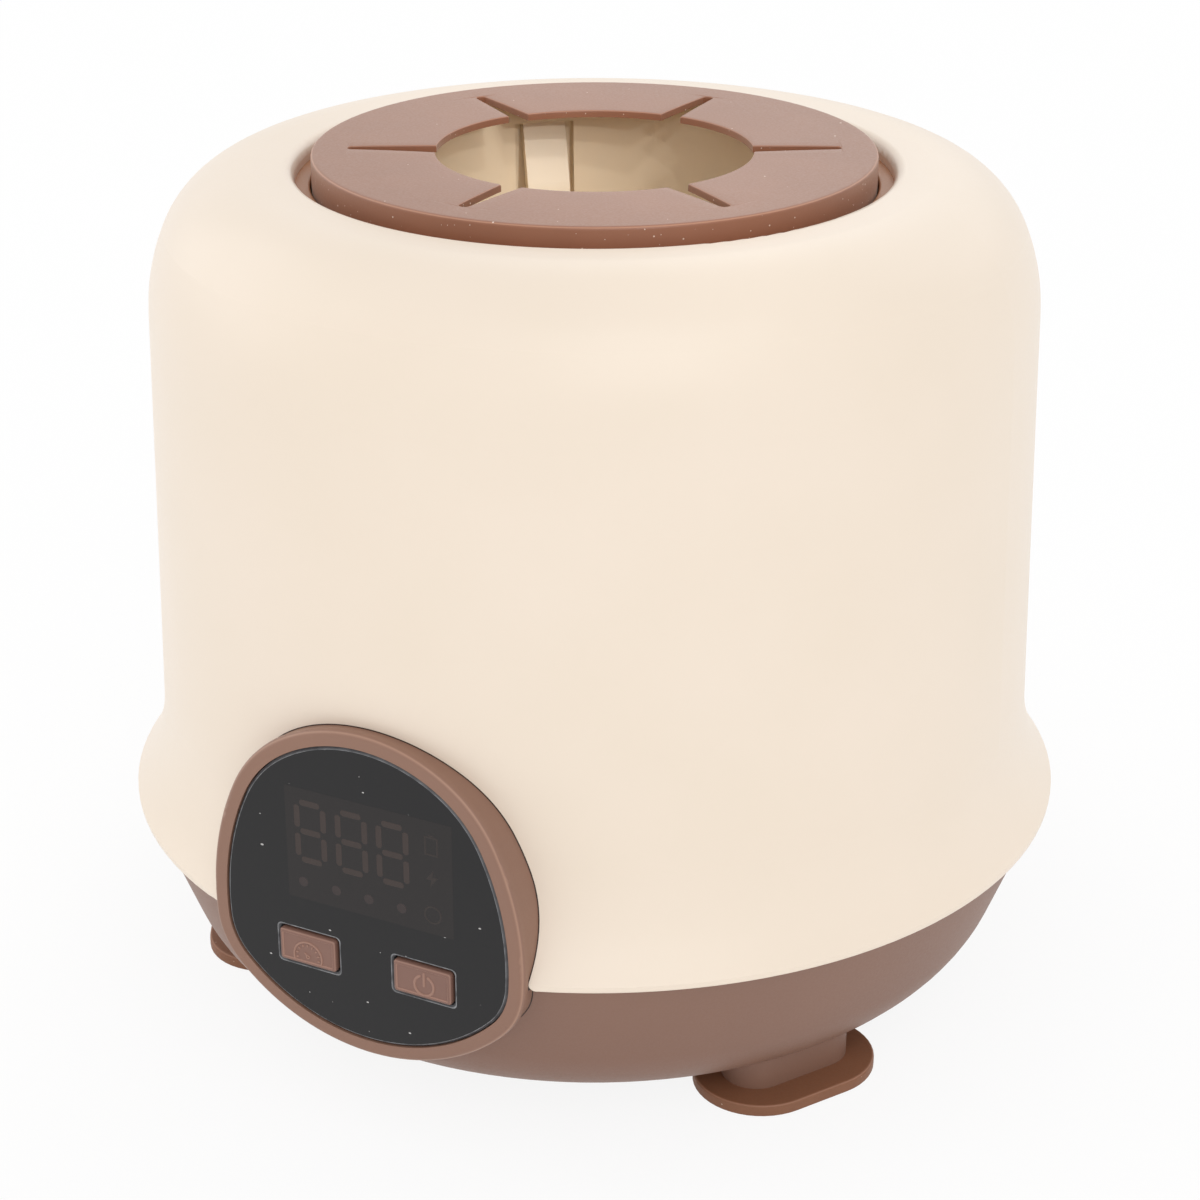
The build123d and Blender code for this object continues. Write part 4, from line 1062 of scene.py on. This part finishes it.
def well_lamps():
    """Narrow soft lamps, one above the other, that reach into the cup through the collar's hole."""
    turn = radians(WELL_TURN)
    for rise in WELL_RISES:
        lamp = bpy.data.lights.new("well", "SPOT")
        lamp.energy = WELL_POWER
        lamp.spot_size = radians(WELL_CONE)
        lamp.spot_blend = 1.0
        lamp.shadow_soft_size = WELL_SOFTNESS
        level = WELL_DISTANCE * cos(radians(rise))
        height = WELL_DISTANCE * sin(radians(rise))
        place = Vector(WELL_TARGET) + Vector((level * cos(turn), level * sin(turn), height))
        aim(bpy.data.objects.new("well", lamp), place, WELL_TARGET)


def lighting():
    """White tent with soft lamps from the right in front, from the left and from behind."""
    world = bpy.data.worlds.new("tent")
    world.use_nodes = True
    background = world.node_tree.nodes["Background"]
    background.inputs["Color"].default_value = WHITE
    seen = world.node_tree.nodes.new("ShaderNodeMapRange")
    seen.inputs["To Min"].default_value = TENT
    seen.inputs["To Max"].default_value = 1.0
    world.node_tree.links.new(background_rays(world.node_tree), seen.inputs["Value"])
    world.node_tree.links.new(seen.outputs["Result"], background.inputs["Strength"])
    bpy.context.scene.world = world
    for name, place, width, height, power in LAMPS:
        softbox(name, place, LAMP_TARGET, width, height, power)
    well_lamps()


def camera():
    """Camera at the photograph's angle."""
    data = bpy.data.cameras.new("camera")
    data.lens = CAMERA_LENS
    data.sensor_width = SENSOR
    data.shift_x = FRAME_SHIFT
    piece = bpy.data.objects.new("camera", data)
    piece.location = CAMERA_PLACE
    piece.rotation_euler = (radians(90 - CAMERA_PITCH), 0.0, atan2(CAMERA_PLACE.x, -CAMERA_PLACE.y))
    bpy.context.scene.collection.objects.link(piece)
    bpy.context.scene.camera = piece


# Assembly

dress_solids()
grip_collar()
for number in range(FINGER_COUNT):
    finger_backing(number)
mouth_reflection_ring()
rear_low, rear_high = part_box("foot_pad_rear")
rear_size = rear_high - rear_low
for side in ("left", "right", "rear"):
    foot_pad("foot_pad_" + side, rear_size.x, rear_size.y)
display()
window_rim_highlights()
panel_joint_shadow()
push_button("mode_button", "mode_key", gauge_lines())
push_button("power_button", "power_key", power_lines())
floor()
lighting()
camera()
bpy.context.scene.view_settings.view_transform = "Standard"
